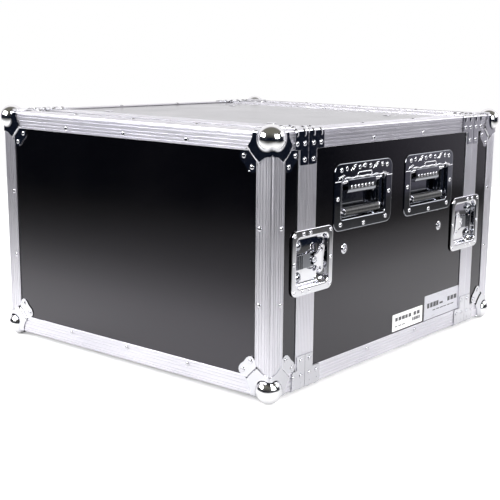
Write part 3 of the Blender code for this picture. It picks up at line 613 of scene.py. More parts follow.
def thicken(obj, thickness, bevel=0.0, sharp=35.0):
    """Gives an open sheet its thickness, inwards, and rounds its cut edges."""
    solid = obj.modifiers.new("solid", "SOLIDIFY")
    solid.thickness = thickness * MM
    solid.offset = -1.0
    if bevel:
        round_edges(obj, bevel)
    return settle(obj, sharp)


def round_edges(obj, width):
    bevel = obj.modifiers.new("bevel", "BEVEL")
    bevel.width = width * MM
    bevel.segments = 2
    bevel.limit_method = "ANGLE"
    bevel.angle_limit = math.radians(50.0)


def cut(obj, cutter):
    """Takes the cutter away from obj; the cutter is used up."""
    modifier = obj.modifiers.new("cut", "BOOLEAN")
    modifier.operation = "DIFFERENCE"
    modifier.solver = "EXACT"
    modifier.object = cutter
    settle(obj)
    bpy.data.objects.remove(cutter)
    return obj


def loose_box(low, high):
    """An unattached box in millimetres, for cutting."""
    points = [(x, y, z) for x in (low[0], high[0]) for y in (low[1], high[1]) for z in (low[2], high[2])]
    faces = [(0, 1, 3, 2), (4, 6, 7, 5), (0, 4, 5, 1), (2, 3, 7, 6), (0, 2, 6, 4), (1, 5, 7, 3)]
    return add_object("cutter", mesh_of("cutter", points, faces))


def arc(centre, radius, start, end, steps):
    """Points from one angle to another, in degrees."""
    points = []
    for i in range(steps + 1):
        angle = math.radians(start + (end - start) * i / steps)
        points.append((centre[0] + radius * math.cos(angle), centre[1] + radius * math.sin(angle)))
    return points


def circle(radius, steps):
    return arc((0, 0), radius, 0, 360, steps)[:-1]


def rounded_rectangle(low, high, radius, steps=6):
    points = []
    left, right = low[0] + radius, high[0] - radius
    bottom, top = low[1] + radius, high[1] - radius
    for x, y, turn in ((right, bottom, -90.0), (right, top, 0.0), (left, top, 90.0), (left, bottom, 180.0)):
        points += arc((x, y), radius, turn, turn + 90.0, steps)
    return points


def prism(shape, outline, place, start, end):
    """Straight bar of any section; place turns (a, b, along) into a point."""
    count = len(outline)
    points = [place(a, b, c) for c in (start, end) for a, b in outline]
    faces = [tuple(range(count)), tuple(range(count, 2 * count))]
    faces += [(i, (i + 1) % count, (i + 1) % count + count, i + count) for i in range(count)]
    shape.add(points, faces)


def loft(shape, loops, closed=True, cap_first=False, cap_last=False):
    """Faces between outlines of equal length."""
    count = len(loops[0])
    points = [point for loop in loops for point in loop]
    faces = []
    for row in range(len(loops) - 1):
        for i in range(count if closed else count - 1):
            j = (i + 1) % count
            faces.append((row * count + i, row * count + j, (row + 1) * count + j, (row + 1) * count + i))
    if cap_first:
        faces.append(tuple(range(count)))
    if cap_last:
        faces.append(tuple(range(len(points) - count, len(points))))
    shape.add(points, faces)


def solid_loft(shape, loops):
    loft(shape, loops, True, True, True)


def lathe(shape, plane, a, b, profile, steps):
    """Round body about the plane's normal; profile is (radius, height) pairs from foot to crown."""
    loops = []
    for radius, height in profile:
        loops.append([plane.at(a + x, b + y, height) for x, y in circle(radius, steps)])
    solid_loft(shape, loops)


def tube(shape, path, radius, steps):
    """Round bar along a path of points."""
    path = [Vector(point) for point in path]
    loops = []
    side = None
    for i, point in enumerate(path):
        ahead = (path[min(i + 1, len(path) - 1)] - path[max(i - 1, 0)]).normalized()
        if side is None:
            side = ahead.orthogonal().normalized()
        side = (side - ahead * side.dot(ahead)).normalized()
        other = ahead.cross(side)
        loops.append([point + side * x + other * y for x, y in circle(radius, steps)])
    solid_loft(shape, loops)


def inside(point, outline):
    """Whether a point lies inside an outline, by the sides it has to cross."""
    x, y = point
    result = False
    for i, (x1, y1) in enumerate(outline):
        x2, y2 = outline[i - 1]
        if (y1 > y) != (y2 > y) and x < (x2 - x1) * (y - y1) / (y2 - y1) + x1:
            result = not result
    return result


def edge_distance(point, outline):
    """Distance from a point to the nearest side of an outline."""
    best = 1e9
    p = Vector(point)
    for i, end in enumerate(outline):
        start = Vector(outline[i - 1])
        span = Vector(end) - start
        share = max(0.0, min(1.0, (p - start).dot(span) / max(span.length_squared, 1e-9)))
        best = min(best, (p - start - span * share).length)
    return best


def densify(outline, step):
    """Splits the long sides of an outline so that it can follow a curved surface."""
    result = []
    for i, start in enumerate(outline):
        end = outline[(i + 1) % len(outline)]
        parts = max(1, round(math.dist(start, end) / step))
        for k in range(parts):
            share = k / parts
            result.append((start[0] + (end[0] - start[0]) * share, start[1] + (end[1] - start[1]) * share))
    return result


def triangulate(outline, holes, columns, rows, margin):
    """Flat mesh inside an outline and outside its holes, with points at the crossings of a grid."""
    loops = [outline] + holes
    points = []
    edges = []
    for loop in loops:
        base = len(points)
        points += loop
        edges += [(base + i, base + (i + 1) % len(loop)) for i in range(len(loop))]
    for a in columns:
        for b in rows:
            if inside((a, b), outline) and not any(inside((a, b), hole) for hole in holes):
                if min(edge_distance((a, b), loop) for loop in loops) > margin:
                    points.append((a, b))
    found = delaunay_2d_cdt([Vector(point) for point in points], edges, [], 0, 1e-5)
    flat = [tuple(point) for point in found[0]]
    faces = []
    for face in found[2]:
        middle = (sum(flat[i][0] for i in face) / len(face), sum(flat[i][1] for i in face) / len(face))
        if inside(middle, outline) and not any(inside(middle, hole) for hole in holes):
            faces.append(tuple(face))
    return flat, faces


def steps_between(low, high, step):
    """Evenly spaced values from low to high, about a step apart."""
    count = max(1, round((high - low) / step))
    return [low + (high - low) * i / count for i in range(count + 1)]


def smooth_step(value):
    """Eases from 0 to 1."""
    value = max(0.0, min(1.0, value))
    return value * value * (3 - 2 * value)


# ---- Rivets and bolts
RIVET_R = 3.9
RIVET_HIGH = 1.8
RIVET_FOOT = 0.2                    # how far a head reaches into the sheet
RIVET_PROFILE = ((1.0, 0.12), (0.96, 0.4), (0.8, 0.72), (0.55, 0.93), (0.28, 1.0), (0.14, 0.9))
CUP_PROFILE = ((0.0, -0.1), (0.0, 0.3), (1.2, 1.1), (2.6, 1.7), (3.6, 1.6), (4.2, 0.7))
BOLT_PROFILE = ((4.0, 0.0), (4.0, 0.9), (3.5, 1.5), (2.2, 1.9), (0.9, 2.0))


def rivet(shape, plane, a, b, level, radius=RIVET_R):
    """Domed head with a small flat in its crown; its profile is in shares of radius and height."""
    high = RIVET_HIGH * radius / RIVET_R
    profile = [(radius * 0.9, level - RIVET_FOOT)]
    profile += [(radius * share, level + high * rise) for share, rise in RIVET_PROFILE]
    lathe(shape, plane, a, b, profile, 14)


def cup_bolt(shape, plane, a, b, level):
    """Raised cup washer with a domed bolt head in it."""
    lathe(shape, plane, a, b, [(CUP_R - inset, level + rise) for inset, rise in CUP_PROFILE], 24)
    lathe(shape, plane, a, b, [(radius, level + rise) for radius, rise in BOLT_PROFILE], 20)


# ---- Extrusions
def ribbed(flange, grooves, half, deep):
    """(distance, depth) pairs over one flat flange, with rounded grooves, from distance 0 to flange."""
    points = []
    for groove in grooves:
        points += [(groove - half, 0.0), (groove - half * 0.4, deep), (groove + half * 0.4, deep),
                   (groove + half, 0.0)]
    return points + [(flange - 0.4, 0.0), (flange, 0.35)]


def bar_profile():
    """Double angle: ribbed outer flanges round a soft nose, a diagonal web and two inner legs."""
    flange = ribbed(FLANGE, BAR_GROOVES, GROOVE_HALF, GROOVE_DEEP)
    one = [(a, depth) for a, depth in reversed(flange)]
    nose = arc((NOSE, NOSE), NOSE, 270.0, 180.0, 8)
    other = [(depth, a) for a, depth in flange]
    leg = PLY_IN + GAP
    inner = [(SKIN, FLANGE), (SKIN, SKIN + WEB), (leg, leg + WEB), (leg, INNER_LEG), (CORE, INNER_LEG),
             (CORE, CORE), (INNER_LEG, CORE), (INNER_LEG, leg), (leg + WEB, leg), (SKIN + WEB, SKIN),
             (FLANGE, SKIN)]
    return one + nose[1:-1] + other + inner


def bar(name, place, start, end, axis, body, stands_for):
    shape = Shape()
    prism(shape, bar_profile(), place, start, end)
    make_piece(name, shape, f"aluminium_{axis}", body, stands_for, sharp=28.0)


def body_bars():
    """The four long bars between the grooves."""
    for sx in (-1, 1):
        for sz in (-1, 1):
            tag = f"{LEVEL[sz]}_{SIDE[sx]}"
            bar(f"body_bar_{tag}", edge_line(sx, sz), SEAM[-1] + RING + GAP, SEAM[1] - RING - GAP, "y",
                "case_body", f"edge_extrusion_{tag}")


def lid_bars(end):
    """The four bars round a lid's face and the four short ones that run back to its tongue."""
    lid = f"{END[end]}_lid"
    node = f"{lid}_edge_frame"
    for sz in (-1, 1):
        def level_line(u, v, x, sz=sz):
            return (x, end * (HALF_Y - u), Z_MID + sz * (HALF_Z - v))
        bar(f"{END[end]}_face_bar_{LEVEL[sz]}", level_line, BAR_END - HALF_X, HALF_X - BAR_END, "x", lid,
            node)
    for sx in (-1, 1):
        def upright_line(u, v, z, sx=sx):
            return (sx * (HALF_X - v), end * (HALF_Y - u), Z_MID + z)
        bar(f"{END[end]}_face_bar_{SIDE[sx]}", upright_line, BAR_END - HALF_Z, HALF_Z - BAR_END, "z", lid,
            node)
        for sz in (-1, 1):
            bar(f"{lid}_bar_{LEVEL[sz]}_{SIDE[sx]}", edge_line(sx, sz), end * (HALF_Y - BAR_END),
                SEAM[end] + end * (RING + GAP), "y", lid, node)


def rectangle_loop(inset):
    radius = max(NOSE - inset, 1.0)
    x = HALF_X - inset
    z = HALF_Z - inset
    return rounded_rectangle((-x, -z), (x, z), radius, 5)


def strip_profile(part):
    """(distance from the seam, depth) round a tongue (lid) or groove (case body) extrusion."""
    face = GAP / 2
    ribs = ribbed(RING - face, STRIP_GROOVES, STRIP_GROOVE_HALF, STRIP_GROOVE_DEEP)
    profile = [(face, 0.3), (face + 0.3, 0.0)] + [(face + a, depth) for a, depth in ribs]
    profile += [(RING, SKIN), (RING_WEB, SKIN), (RING_WEB, PLY_IN + GAP), (RING_INNER, PLY_IN + GAP),
                (RING_INNER, CORE), (face, CORE)]
    reach, (outer, inner) = (-TONGUE, TONGUE_DEPTHS) if part == "lid" else (face + GROOVE_IN, GROOVE_DEPTHS)
    return profile + [(face, inner), (reach, inner), (reach, outer), (face, outer)]


def seam_strip(part, end):
    """Tongue or groove profile round one opening, finely ribbed outside and notched for the latches."""
    sign = away(part, end)
    loops = [[(x, SEAM[end] + sign * along, Z_MID + z) for x, z in rectangle_loop(inset)]
             for along, inset in strip_profile(part)]
    shape = Shape()
    loft(shape, loops + [loops[0]])
    strip = make_piece(f"{END[end]}_{part}_seam_strip", shape, "aluminium_z", part_body(part, end),
                       f"{END[end]}_{'tongue' if part == 'lid' else 'groove'}_ring", sharp=28.0)
    notch_half = LATCH_OPEN_Z + SHEET + GAP
    notch_depth = LATCH_FLOOR + FLOOR_SAG + SHEET + GAP
    y_ends = sorted((SEAM[end] - sign * 10.0, SEAM[end] + sign * (RING + 5.0)))
    for sx in (-1, 1):
        x_ends = sorted((sx * (HALF_X + 5.0), sx * (HALF_X - notch_depth)))
        cut(strip, loose_box((x_ends[0], y_ends[0], Z_MID + LATCH_Z - notch_half),
                             (x_ends[1], y_ends[1], Z_MID + LATCH_Z + notch_half)))
    finish_mesh(strip.data, 28.0)
    strip.data.materials.append(MATERIALS["aluminium_x"])
    for polygon in strip.data.polygons:
        polygon.material_index = int(abs(polygon.center.x) / MM < HALF_X - CORE - 1.0)


# ---- Clamps over the seam
CLAMP_RIVETS = (10.0, 28.5)         # rivets and dimples of a lid's clamp, from the seam
CLAMP_SHIFT = {"lid": 0.0, "body": 1.9}
CLAMP_RIVET_DOWN = 21.0             # from the long edge
CLAMP_STEM_RIVET_DOWN = 45.0
RIB_WIDE = 1.7
RIB_REACH = 11.5                    # half length of a dimple, round the bend


def clamp_outline(wide, start, reach, stem):
    """Flat shape over both faces: deep beside the seam and shallower beyond the stem."""
    half = [(start, -stem), (CLAMP_STEM - 1.0, -stem), (CLAMP_STEM, -stem + 1.0), (CLAMP_STEM, -reach),
            (wide - 2.0, -reach), (wide - 0.6, -reach + 0.6), (wide, -reach + 2.0)]
    return half + [(a, -b) for a, b in reversed(half)]


def clamp(part, end, sx, sz):
    """Pressed cover wrapped over one long edge, with two stiffening dimples over the bend."""
    start = 0.35
    turn = NOSE + GAP + CLAMP_THICK / 2
    half_bend = turn * math.pi / 4
    outline = clamp_outline(CLAMP_WIDE[part], start, CLAMP_DEPTH - NOSE + half_bend,
                            CLAMP_STEM_DEPTH - NOSE + half_bend)
    rows = [-40.0, -30.0, -20.0] + steps_between(-12.0, 12.0, 1.2) + [20.0, 30.0, 40.0]
    columns = steps_between(start, CLAMP_WIDE[part], 1.3)
    flat, faces = triangulate(densify(outline, 3.0), [], columns, rows, 0.7)
    line = edge_line(sx, sz)

    def place(along, across):
        swell = max(math.exp(-((along - rib - CLAMP_SHIFT[part]) / RIB_WIDE) ** 2) for rib in CLAMP_RIVETS)
        level = GAP + CLAMP_THICK + RIB_HIGH * swell * smooth_step((RIB_REACH - abs(across)) / 4.0)
        if abs(across) <= half_bend:
            angle = math.radians(45.0) + across / turn
            u = NOSE - (NOSE + level) * math.cos(angle)
            v = NOSE - (NOSE + level) * math.sin(angle)
        else:
            u = -level
            v = NOSE + abs(across) - half_bend
            if across > 0:
                u, v = v, u
        return line(u, v, SEAM[end] + away(part, end) * along)

    shape = Shape()
    shape.add([place(a, b) for a, b in flat], faces)
    piece = make_piece(f"{END[end]}_{part}_clamp_{LEVEL[sz]}_{SIDE[sx]}", shape, "plated_steel",
                       part_body(part, end), None, (sx, 0, sz), 40.0)
    thicken(piece, CLAMP_THICK, 0.4, 40.0)


def clamp_rivets(shape, part, end, sx, sz):
    """Three rivets of one clamp on each of its two faces."""
    level = GAP + CLAMP_THICK
    first, second = (along + CLAMP_SHIFT[part] for along in CLAMP_RIVETS)
    places = ((first, CLAMP_RIVET_DOWN), (second, CLAMP_RIVET_DOWN), (first, CLAMP_STEM_RIVET_DOWN))
    for along, down in places:
        y = SEAM[end] + away(part, end) * along
        rivet(shape, side_plane(sx), y, sz * (HALF_Z - down), level)
        rivet(shape, level_plane(sz), sx * (HALF_X - down), y, level)


# ---- Ball corners
PETAL_HALF = ((36.5, 7.5), (38.0, 12.5), (40.3, 16.5), (43.3, 20.8), (46.8, 24.8), (50.5, 27.6), (56.0, 30.0),
              (60.0, 33.0), (61.8, 37.0), (61.0, 41.5), (58.2, 45.8), (54.5, 48.8), (51.6, 51.0))
PETAL_LEVEL = -(GAP + PETAL_THICK)  # depth of the petals' outer face


def smooth_max(a, b, k):
    """Larger of two values, with a fillet of size k between them."""
    h = max(0.0, min(1.0, 0.5 + 0.5 * (a - b) / k))
    return b + (a - b) * h + k * h * (1 - h)


def rounded_box_reach(direction, half, radius):
    """Distance from the middle of a rounded cube to its surface."""
    low = half * 0.5
    high = half / max(direction) + 1.0
    for _ in range(40):
        middle = (low + high) / 2
        over = math.sqrt(sum(max(middle * value - (half - radius), 0.0) ** 2 for value in direction))
        if over < radius:
            low = middle
        else:
            high = middle
    return (low + high) / 2


def petal_outline():
    """Outline over one face, mirrored about the diagonal; the lobes carry the rivets."""
    half = [(PETAL_HALF[0][0], PETAL_LEVEL), *PETAL_HALF]
    return [(PETAL_LEVEL, PETAL_LEVEL)] + half + [(b, a) for a, b in reversed(half)]


def petal_sheet():
    """One face of the corner's pressed sheet as (p, q, r) depth points, and its faces."""
    half = BALL_IN - PETAL_LEVEL
    columns = steps_between(0.5, 30.0, 1.5) + steps_between(32.5, 60.0, 2.5)
    flat, faces = triangulate(densify(petal_outline(), 2.2), [], columns, columns, 0.9)

    def lift(a, b):
        direction = Vector((BALL_IN - a, BALL_IN - b, half)).normalized()
        reach = rounded_box_reach([max(value, 0.0) for value in direction], half, NOSE - PETAL_LEVEL)
        point = direction * smooth_max(reach, BALL_R - 0.25, SKIRT)
        joggle = (GAP - PETAL_LEVEL) * smooth_step((a + b - CREASE) / 3.2)
        return (BALL_IN - point.x, BALL_IN - point.y, BALL_IN - point.z + joggle)

    return [lift(a, b) for a, b in flat], faces


def petals_mesh():
    """Pressed sheet of the corner at +X, -Y, +Z: the same petal on its three faces."""
    points, faces = petal_sheet()
    petals = Shape()
    for turn in range(3):
        turned = [(p[turn], p[(turn + 1) % 3], p[(turn + 2) % 3]) for p in points]
        petals.add([corner_place(*p) for p in turned], faces)
    mesh = mesh_of("petals", petals.points, petals.faces, (1, -1, 1))
    mesh.materials.append(MATERIALS["plated_steel"])
    finish_mesh(mesh, 38.0)
    return thicken(add_object("petals", mesh), PETAL_THICK, 0.4, 38.0)


def ball_mesh():
    """Hollow ball of the same corner, without the parts inside the case."""
    bm = bmesh.new()
    bmesh.ops.create_uvsphere(bm, u_segments=64, v_segments=40, radius=BALL_R * MM)
    bmesh.ops.translate(bm, verts=bm.verts, vec=Vector(corner_place(BALL_IN, BALL_IN, BALL_IN)) * MM)
    clip = Vector(corner_place(BALL_CLIP, BALL_CLIP, BALL_CLIP)) * MM
    for normal in ((1, 0, 0), (0, -1, 0), (0, 0, 1)):
        bmesh.ops.bisect_plane(bm, geom=bm.verts[:] + bm.edges[:] + bm.faces[:], plane_co=clip,
                               plane_no=normal, clear_inner=True)
    mesh = bpy.data.meshes.new("ball")
    bm.to_mesh(mesh)
    bm.free()
    mesh.materials.append(MATERIALS["ball_steel"])
    return thicken(add_object("ball", mesh), BALL_WALL, 0.0, 50.0)


def corner_place(p, q, r):
    """Point at three depths from the faces of the corner at +X, -Y, +Z."""
    return (HALF_X - p, -HALF_Y + q, Z_MID + HALF_Z - r)


def mirrored(source, name, sx, end, sz, stands_for):
    """Copy of a piece built at +X, -Y, +Z for another corner."""
    mesh = source.data.copy()
    mesh.name = name
    level = Matrix.Translation((0, 0, Z_MID * MM))
    mesh.transform(level @ Matrix.Diagonal((sx, -end, sz, 1.0)) @ level.inverted())
    if sx * -end * sz < 0:
        mesh.flip_normals()
    claim(add_object(name, mesh), f"{END[end]}_lid", stands_for)


def ball_corners():
    masters = {"petals": petals_mesh(), "ball": ball_mesh()}
    for end in (-1, 1):
        for sz in (-1, 1):
            for sx in (-1, 1):
                tag = f"{END[end]}_{LEVEL[sz]}_{SIDE[sx]}"
                for kind, master in masters.items():
                    mirrored(master, f"corner_{kind}_{tag}", sx, end, sz, f"ball_corner_{tag}")
    for master in masters.values():
        bpy.data.objects.remove(master)


def petal_rivets(shape, end, sx, sz):
    """Two rivets of one corner on each of its three faces."""
    for a, b in PETAL_RIVETS:
        rivet(shape, side_plane(sx), end * (HALF_Y - a), sz * (HALF_Z - b), -GAP)
        rivet(shape, level_plane(sz), sx * (HALF_X - b), end * (HALF_Y - a), -GAP)
        rivet(shape, end_plane(end), sx * (HALF_X - b), sz * (HALF_Z - a), -GAP)


# ---- Handles
# (sine, cosine) round a quarter bend
BEND_STEPS = [(math.sin(turn), math.cos(turn)) for turn in map(math.radians, (0, 25, 50, 75, 90))]
HANDLE_ROLL = ((0.0, 0.7), (-0.35, 0.25), (-1.0, 0.0))      # (growth, depth) over the plate's rolled edge
HANDLE_FILLET = 2.2
HANDLE_BOWL = 4.0
PAN_CORNER = 5.0
HANDLE_FACE = PLY_OUT - GAP - SHEET                          # depth of the plate's flat


def handle_plane(sx, end):
    """Middle of the handle plate, on the case's outer face; a runs along Y."""
    y = (SEAM[-1] + SEAM[1]) / 2 + end * HANDLE_OFFSET
    return Plane((sx * HALF_X, y, Z_MID + HANDLE_Z), (0, 1, 0), (0, 0, 1), (sx, 0, 0))


def mouth_steps(face, fillet):
    """(growth, depth) over the rounded mouth of a pressed dish."""
    return [(fillet * (1 - sine), face + fillet * (1 - cosine)) for sine, cosine in BEND_STEPS]


def foot_steps(floor, bowl):
    """(growth, depth) over the rounded foot of its wall."""
    return [(-bowl * (1 - cosine), floor - bowl * (1 - sine)) for sine, cosine in BEND_STEPS]


def grown(low, high, radius, growth, least, steps):
    """Rounded rectangle, larger all round by a growth."""
    return rounded_rectangle((low[0] - growth, low[1] - growth), (high[0] + growth, high[1] + growth),
                             max(radius + growth, least), steps)


def handle_dish(shape, plane):
    """Open sheet: rolled rim, flat, rounded mouth, wall, rounded foot and floor."""
    rim = ((-HANDLE_HALF[0], -HANDLE_HALF[1]), HANDLE_HALF, HANDLE_CORNER)
    pan = ((-PAN_HALF, PAN_LOW), (PAN_HALF, PAN_HIGH), PAN_CORNER)

    def ring(box, growth, depth):
        return [plane.at(a, b, -depth) for a, b in grown(*box, growth, 0.6, 7)]

    loops = [ring(rim, growth, HANDLE_FACE + depth) for growth, depth in HANDLE_ROLL]
    loops.append(ring(rim, HANDLE_ROLL[-1][0] - FLAT_EDGE, HANDLE_FACE))
    loops.append(ring(pan, HANDLE_FILLET + FLAT_EDGE, HANDLE_FACE))
    steps = mouth_steps(HANDLE_FACE, HANDLE_FILLET) + foot_steps(PAN_DEPTH, HANDLE_BOWL)
    loops += [ring(pan, growth, depth) for growth, depth in steps]
    loft(shape, loops, True, False, True)


BEAD_PROFILE = ((1 / 2, None), (1 / 3, 0.75), (0.0, 1.0), (-1 / 3, 0.75), (-1 / 2, None))
BUMP_PROFILE = ((1.0, None), (0.97, 0.3), (0.8, 0.75), (0.45, 0.96), (0.1, 1.0))
SUNK = -0.1                         # where a stamping's foot lies in the sheet


LEAF_PROFILE = ((-1.0, SUNK), (-0.6, 0.7), (0.0, 1.0), (0.6, 0.7), (1.0, SUNK))
LEAF_STEPS = 9
LEAF_BOW = 2.6                      # how far a leaf's middle stands off the line between its tips
LEAF_AT = (-31.0, 34.0)
SLOT_BEAD = ((-19.0, SLOT_UP - 3.4), (21.0, SLOT_UP + 3.4), 3.3)
WAVE_R = 1.05                       # wavy rib above the pan
WAVE_HIGH = 0.9
WAVE_TURN = 0.23                    # radians per millimetre
FOLD_R = 0.8                        # straight ribs beside the pan


def rise(share, tall):
    """Height of a profile's point; None stands for the foot, which lies in the sheet."""
    return SUNK if share is None else share * tall


def bead(shape, plane, low, high, radius, level, width, tall):
    """Raised bead that follows a rounded rectangle."""
    loops = [[plane.at(a, b, level + rise(share, tall))
              for a, b in grown(low, high, radius, width * side, 0.3, 6)] for side, share in BEAD_PROFILE]
    loft(shape, loops + [loops[0]])


def bump(shape, plane, a, b, level, half_a, half_b, tall):
    """Oval bump."""
    solid_loft(shape, [[plane.at(a + half_a * size * x, b + half_b * size * y, level + rise(share, tall))
                        for x, y in circle(1.0, 14)] for size, share in BUMP_PROFILE])


def leaf(shape, plane, a, b, level, length, lean):
    """Curved raised rib, thick in the middle and pointed at both ends; lean is its angle in radians."""
    loops = []
    along_a, along_b = math.cos(lean), math.sin(lean)
    for i in range(LEAF_STEPS + 1):
        full = math.sin(math.pi * i / LEAF_STEPS)
        along = (i / LEAF_STEPS - 0.5) * length
        half = 0.25 + 1.5 * full
        tall = 0.3 + 0.9 * full
        loop = []
        for side, share in LEAF_PROFILE:
            across = LEAF_BOW * full + side * half
            loop.append(plane.at(a + along * along_a - across * along_b,
                                 b + along * along_b + across * along_a, level + share * tall))
        loops.append(loop)
    solid_loft(shape, loops)


def handle_stampings(plane, tag):
    """Bumps, leaves, a beaded slot, a wavy rib and the rivets on the plate's flat."""
    trim = Shape()
    level = -HANDLE_FACE
    for a in BUMP_AT:
        bump(trim, plane, a, BUMP_UP, level, 3.2, 4.0, 1.1)
    for a in LEAF_AT:
        leaf(trim, plane, a, BUMP_UP, level, 20.0, 0.5)
        leaf(trim, plane, a + 1.5, BUMP_UP - 3.0, level, 13.0, 0.8)
    leaf(trim, plane, 0.0, BUMP_UP + 1.5, level, 13.0, 0.2)
    bead(trim, plane, *SLOT_BEAD, level, 1.9, 0.9)
    for sign in (-1, 1):
        for i in range(3):
            leaf(trim, plane, sign * (PAN_HALF - 4.0 + 4.2 * i), PAN_HIGH + 4.6 - i, level, 10.0,
                 1.2 * sign + 1.57)
    tube(trim, [plane.at(a, PAN_HIGH + 2.2 + WAVE_HIGH * math.sin(a * WAVE_TURN), level + 0.15)
                for a in steps_between(-PAN_HALF + 6.0, PAN_HALF - 6.0, 3.0)], WAVE_R, 8)
    for sign in (-1, 1):
        ends = (PAN_HALF + 2.5, HANDLE_HALF[0] - 1.0)
        tube(trim, [plane.at(sign * a, PAN_HIGH - 2.0, level) for a in ends], FOLD_R, 8)
    for a, b in HANDLE_RIVETS:
        rivet(trim, plane, a, b, level)
    # The stampings and their rivets get the plating brightened as a painted highlight.
    make_piece(f"handle_stampings_{tag}", trim, "painted_highlight_steel", "case_body", sharp=50.0)


DIMPLES = 7
DIMPLE_PITCH = 10.0
COVER_FACE = 3.8                    # depth of the spring cover's flat


def handle_cover(plane, tag, outward):
    """Curved sheet over the spring, with a row of dimples."""
    cover = Shape()
    profile = ((PAN_HIGH - 1.0, 4.6), (PAN_HIGH - 2.5, COVER_FACE), (PAN_HIGH - 4.5, COVER_FACE - 0.2),
               (COVER_LOW + 6.0, COVER_FACE),
               (COVER_LOW + 2.5, 4.4), (COVER_LOW, 6.4), (COVER_LOW - 1.0, 9.5), (COVER_LOW - 1.0, 14.0))
    loft(cover, [[plane.at(a, b, -depth) for a in steps_between(-COVER_HALF, COVER_HALF, 13.0)]
                 for b, depth in profile], False)
    # The spring cover gets the plating darkened as painted shade.
    piece = make_piece(f"handle_cover_{tag}", cover, "painted_shade_steel", "case_body", None, outward, 30.0)
    thicken(piece, 1.0, 0.3, 30.0)
    dots = Shape()
    for i in range(DIMPLES):
        bump(dots, plane, (i - DIMPLES // 2) * DIMPLE_PITCH, COVER_LOW + 9.5, -COVER_FACE, 2.6, 2.9, 0.9)
    # The dimples get the plating brightened as a painted highlight.
    make_piece(f"handle_dimples_{tag}", dots, "painted_highlight_steel", "case_body")


SPRING_COIL_R = 3.2
SPRING_WIRE_R = 0.75
SPRING_TURNS = 6
SPRING_PITCH = 1.85
SPRING_START = COVER_HALF + 1.4
SPRING_LEG = COVER_HALF + 13.0


def handle_springs(plane, tag):
    """A coil round each end of the bail's axle, with a leg down towards the pan's floor."""
    spring = Shape()
    for sign in (-1, 1):
        path = []
        for i in range(16 * SPRING_TURNS + 1):
            angle = 2 * math.pi * i / 16
            path.append(plane.at(sign * (SPRING_START + SPRING_PITCH * i / 16),
                                 BAIL_UP + SPRING_COIL_R * math.sin(angle),
                                 -BAIL_DEPTH + SPRING_COIL_R * math.cos(angle)))
        path.append(plane.at(sign * SPRING_LEG, BAIL_UP - 6.0, -BAIL_DEPTH - 4.5))
        path.append(plane.at(sign * SPRING_LEG, BAIL_UP - 24.0, -PAN_DEPTH + 3.4))
        tube(spring, path, SPRING_WIRE_R, 8)
    make_piece(f"handle_spring_{tag}", spring, "plated_steel", "case_body", sharp=60.0)


def handle_plate(sx, end):
    """Plate and pan of one handle, its stampings and rivets, its spring cover and its springs."""
    tag = f"{END[end]}_{SIDE[sx]}"
    plane = handle_plane(sx, end)
    shape = Shape()
    handle_dish(shape, plane)
    # The plate and its pan get the plating darkened as painted shade.
    dish = make_piece(f"handle_plate_{tag}", shape, "painted_shade_steel", "case_body",
                      f"handle_dish_{tag}", (sx, 0, 0), 40.0)
    thicken(dish, SHEET, 0.0, 40.0)
    handle_stampings(plane, tag)
    handle_cover(plane, tag, (sx, 0, 0))
    handle_springs(plane, tag)


BAIL_BEND = 6.0
BAIL_WASHER = ((6.4, -0.9), (6.6, -0.3), (6.4, 0.4), (5.0, 1.0), (BAIL_R, 1.1))
GRIP_END_R = 5.0
GRIP_STEP = 1.4


def handle_bail(sx, end):
    """Bent rod with a washer at each end of its grip."""
    tag = f"{END[end]}_{SIDE[sx]}"
    plane = handle_plane(sx, end)
    low = BAIL_UP - BAIL_DROP
    path = [(STUB, BAIL_UP), (BAIL_HALF + 1.2, BAIL_UP), (BAIL_HALF + 0.3, BAIL_UP - 0.4),
            (BAIL_HALF, BAIL_UP - 1.3), (BAIL_HALF, low + BAIL_BEND)]
    path += arc((BAIL_HALF - BAIL_BEND, low + BAIL_BEND), BAIL_BEND, 0.0, -90.0, 6)[1:]
    path += [(GRIP_HALF - 3.0, low)]
    full = [(-a, b) for a, b in path] + [(a, b) for a, b in reversed(path)]
    rod = Shape()
    tube(rod, [plane.at(a, b, -BAIL_DEPTH) for a, b in full], BAIL_R, 16)
    for sign in (-1, 1):
        axis = Plane(plane.at(sign * (GRIP_HALF + 0.4), low, -BAIL_DEPTH), plane.b, plane.c, plane.a * sign)
        lathe(rod, axis, 0.0, 0.0, BAIL_WASHER, 24)
    make_piece(f"bail_rod_{tag}", rod, "plated_steel", f"bail_{tag}", f"handle_bail_{tag}", sharp=50.0)
    bail_grip(Plane(plane.at(0, low, -BAIL_DEPTH), plane.b, plane.c, plane.a), tag)


def bail_grip(axis, tag):
    """Moulded rubber grip: rounded ends, a slight swell and shallow grooves round it."""
    profile = []
    for a in steps_between(-GRIP_HALF, GRIP_HALF, GRIP_STEP):
        from_end = GRIP_HALF - abs(a)
        end_round = math.sqrt(max(0.0, 1.0 - (max(0.0, 2.0 - from_end) / 2.0) ** 2))
        swell = 0.35 * (1.0 - (a / GRIP_HALF) ** 2)
        groove = 0.22 if round(abs(a) / GRIP_STEP) % 7 == 3 else 0.0
        profile.append((GRIP_END_R + (GRIP_R - GRIP_END_R - 0.35) * end_round + swell - groove, a))
    grip = Shape()
    lathe(grip, axis, 0.0, 0.0, profile, 32)
    make_piece(f"bail_grip_{tag}", grip, "rubber", f"bail_{tag}", sharp=60.0)


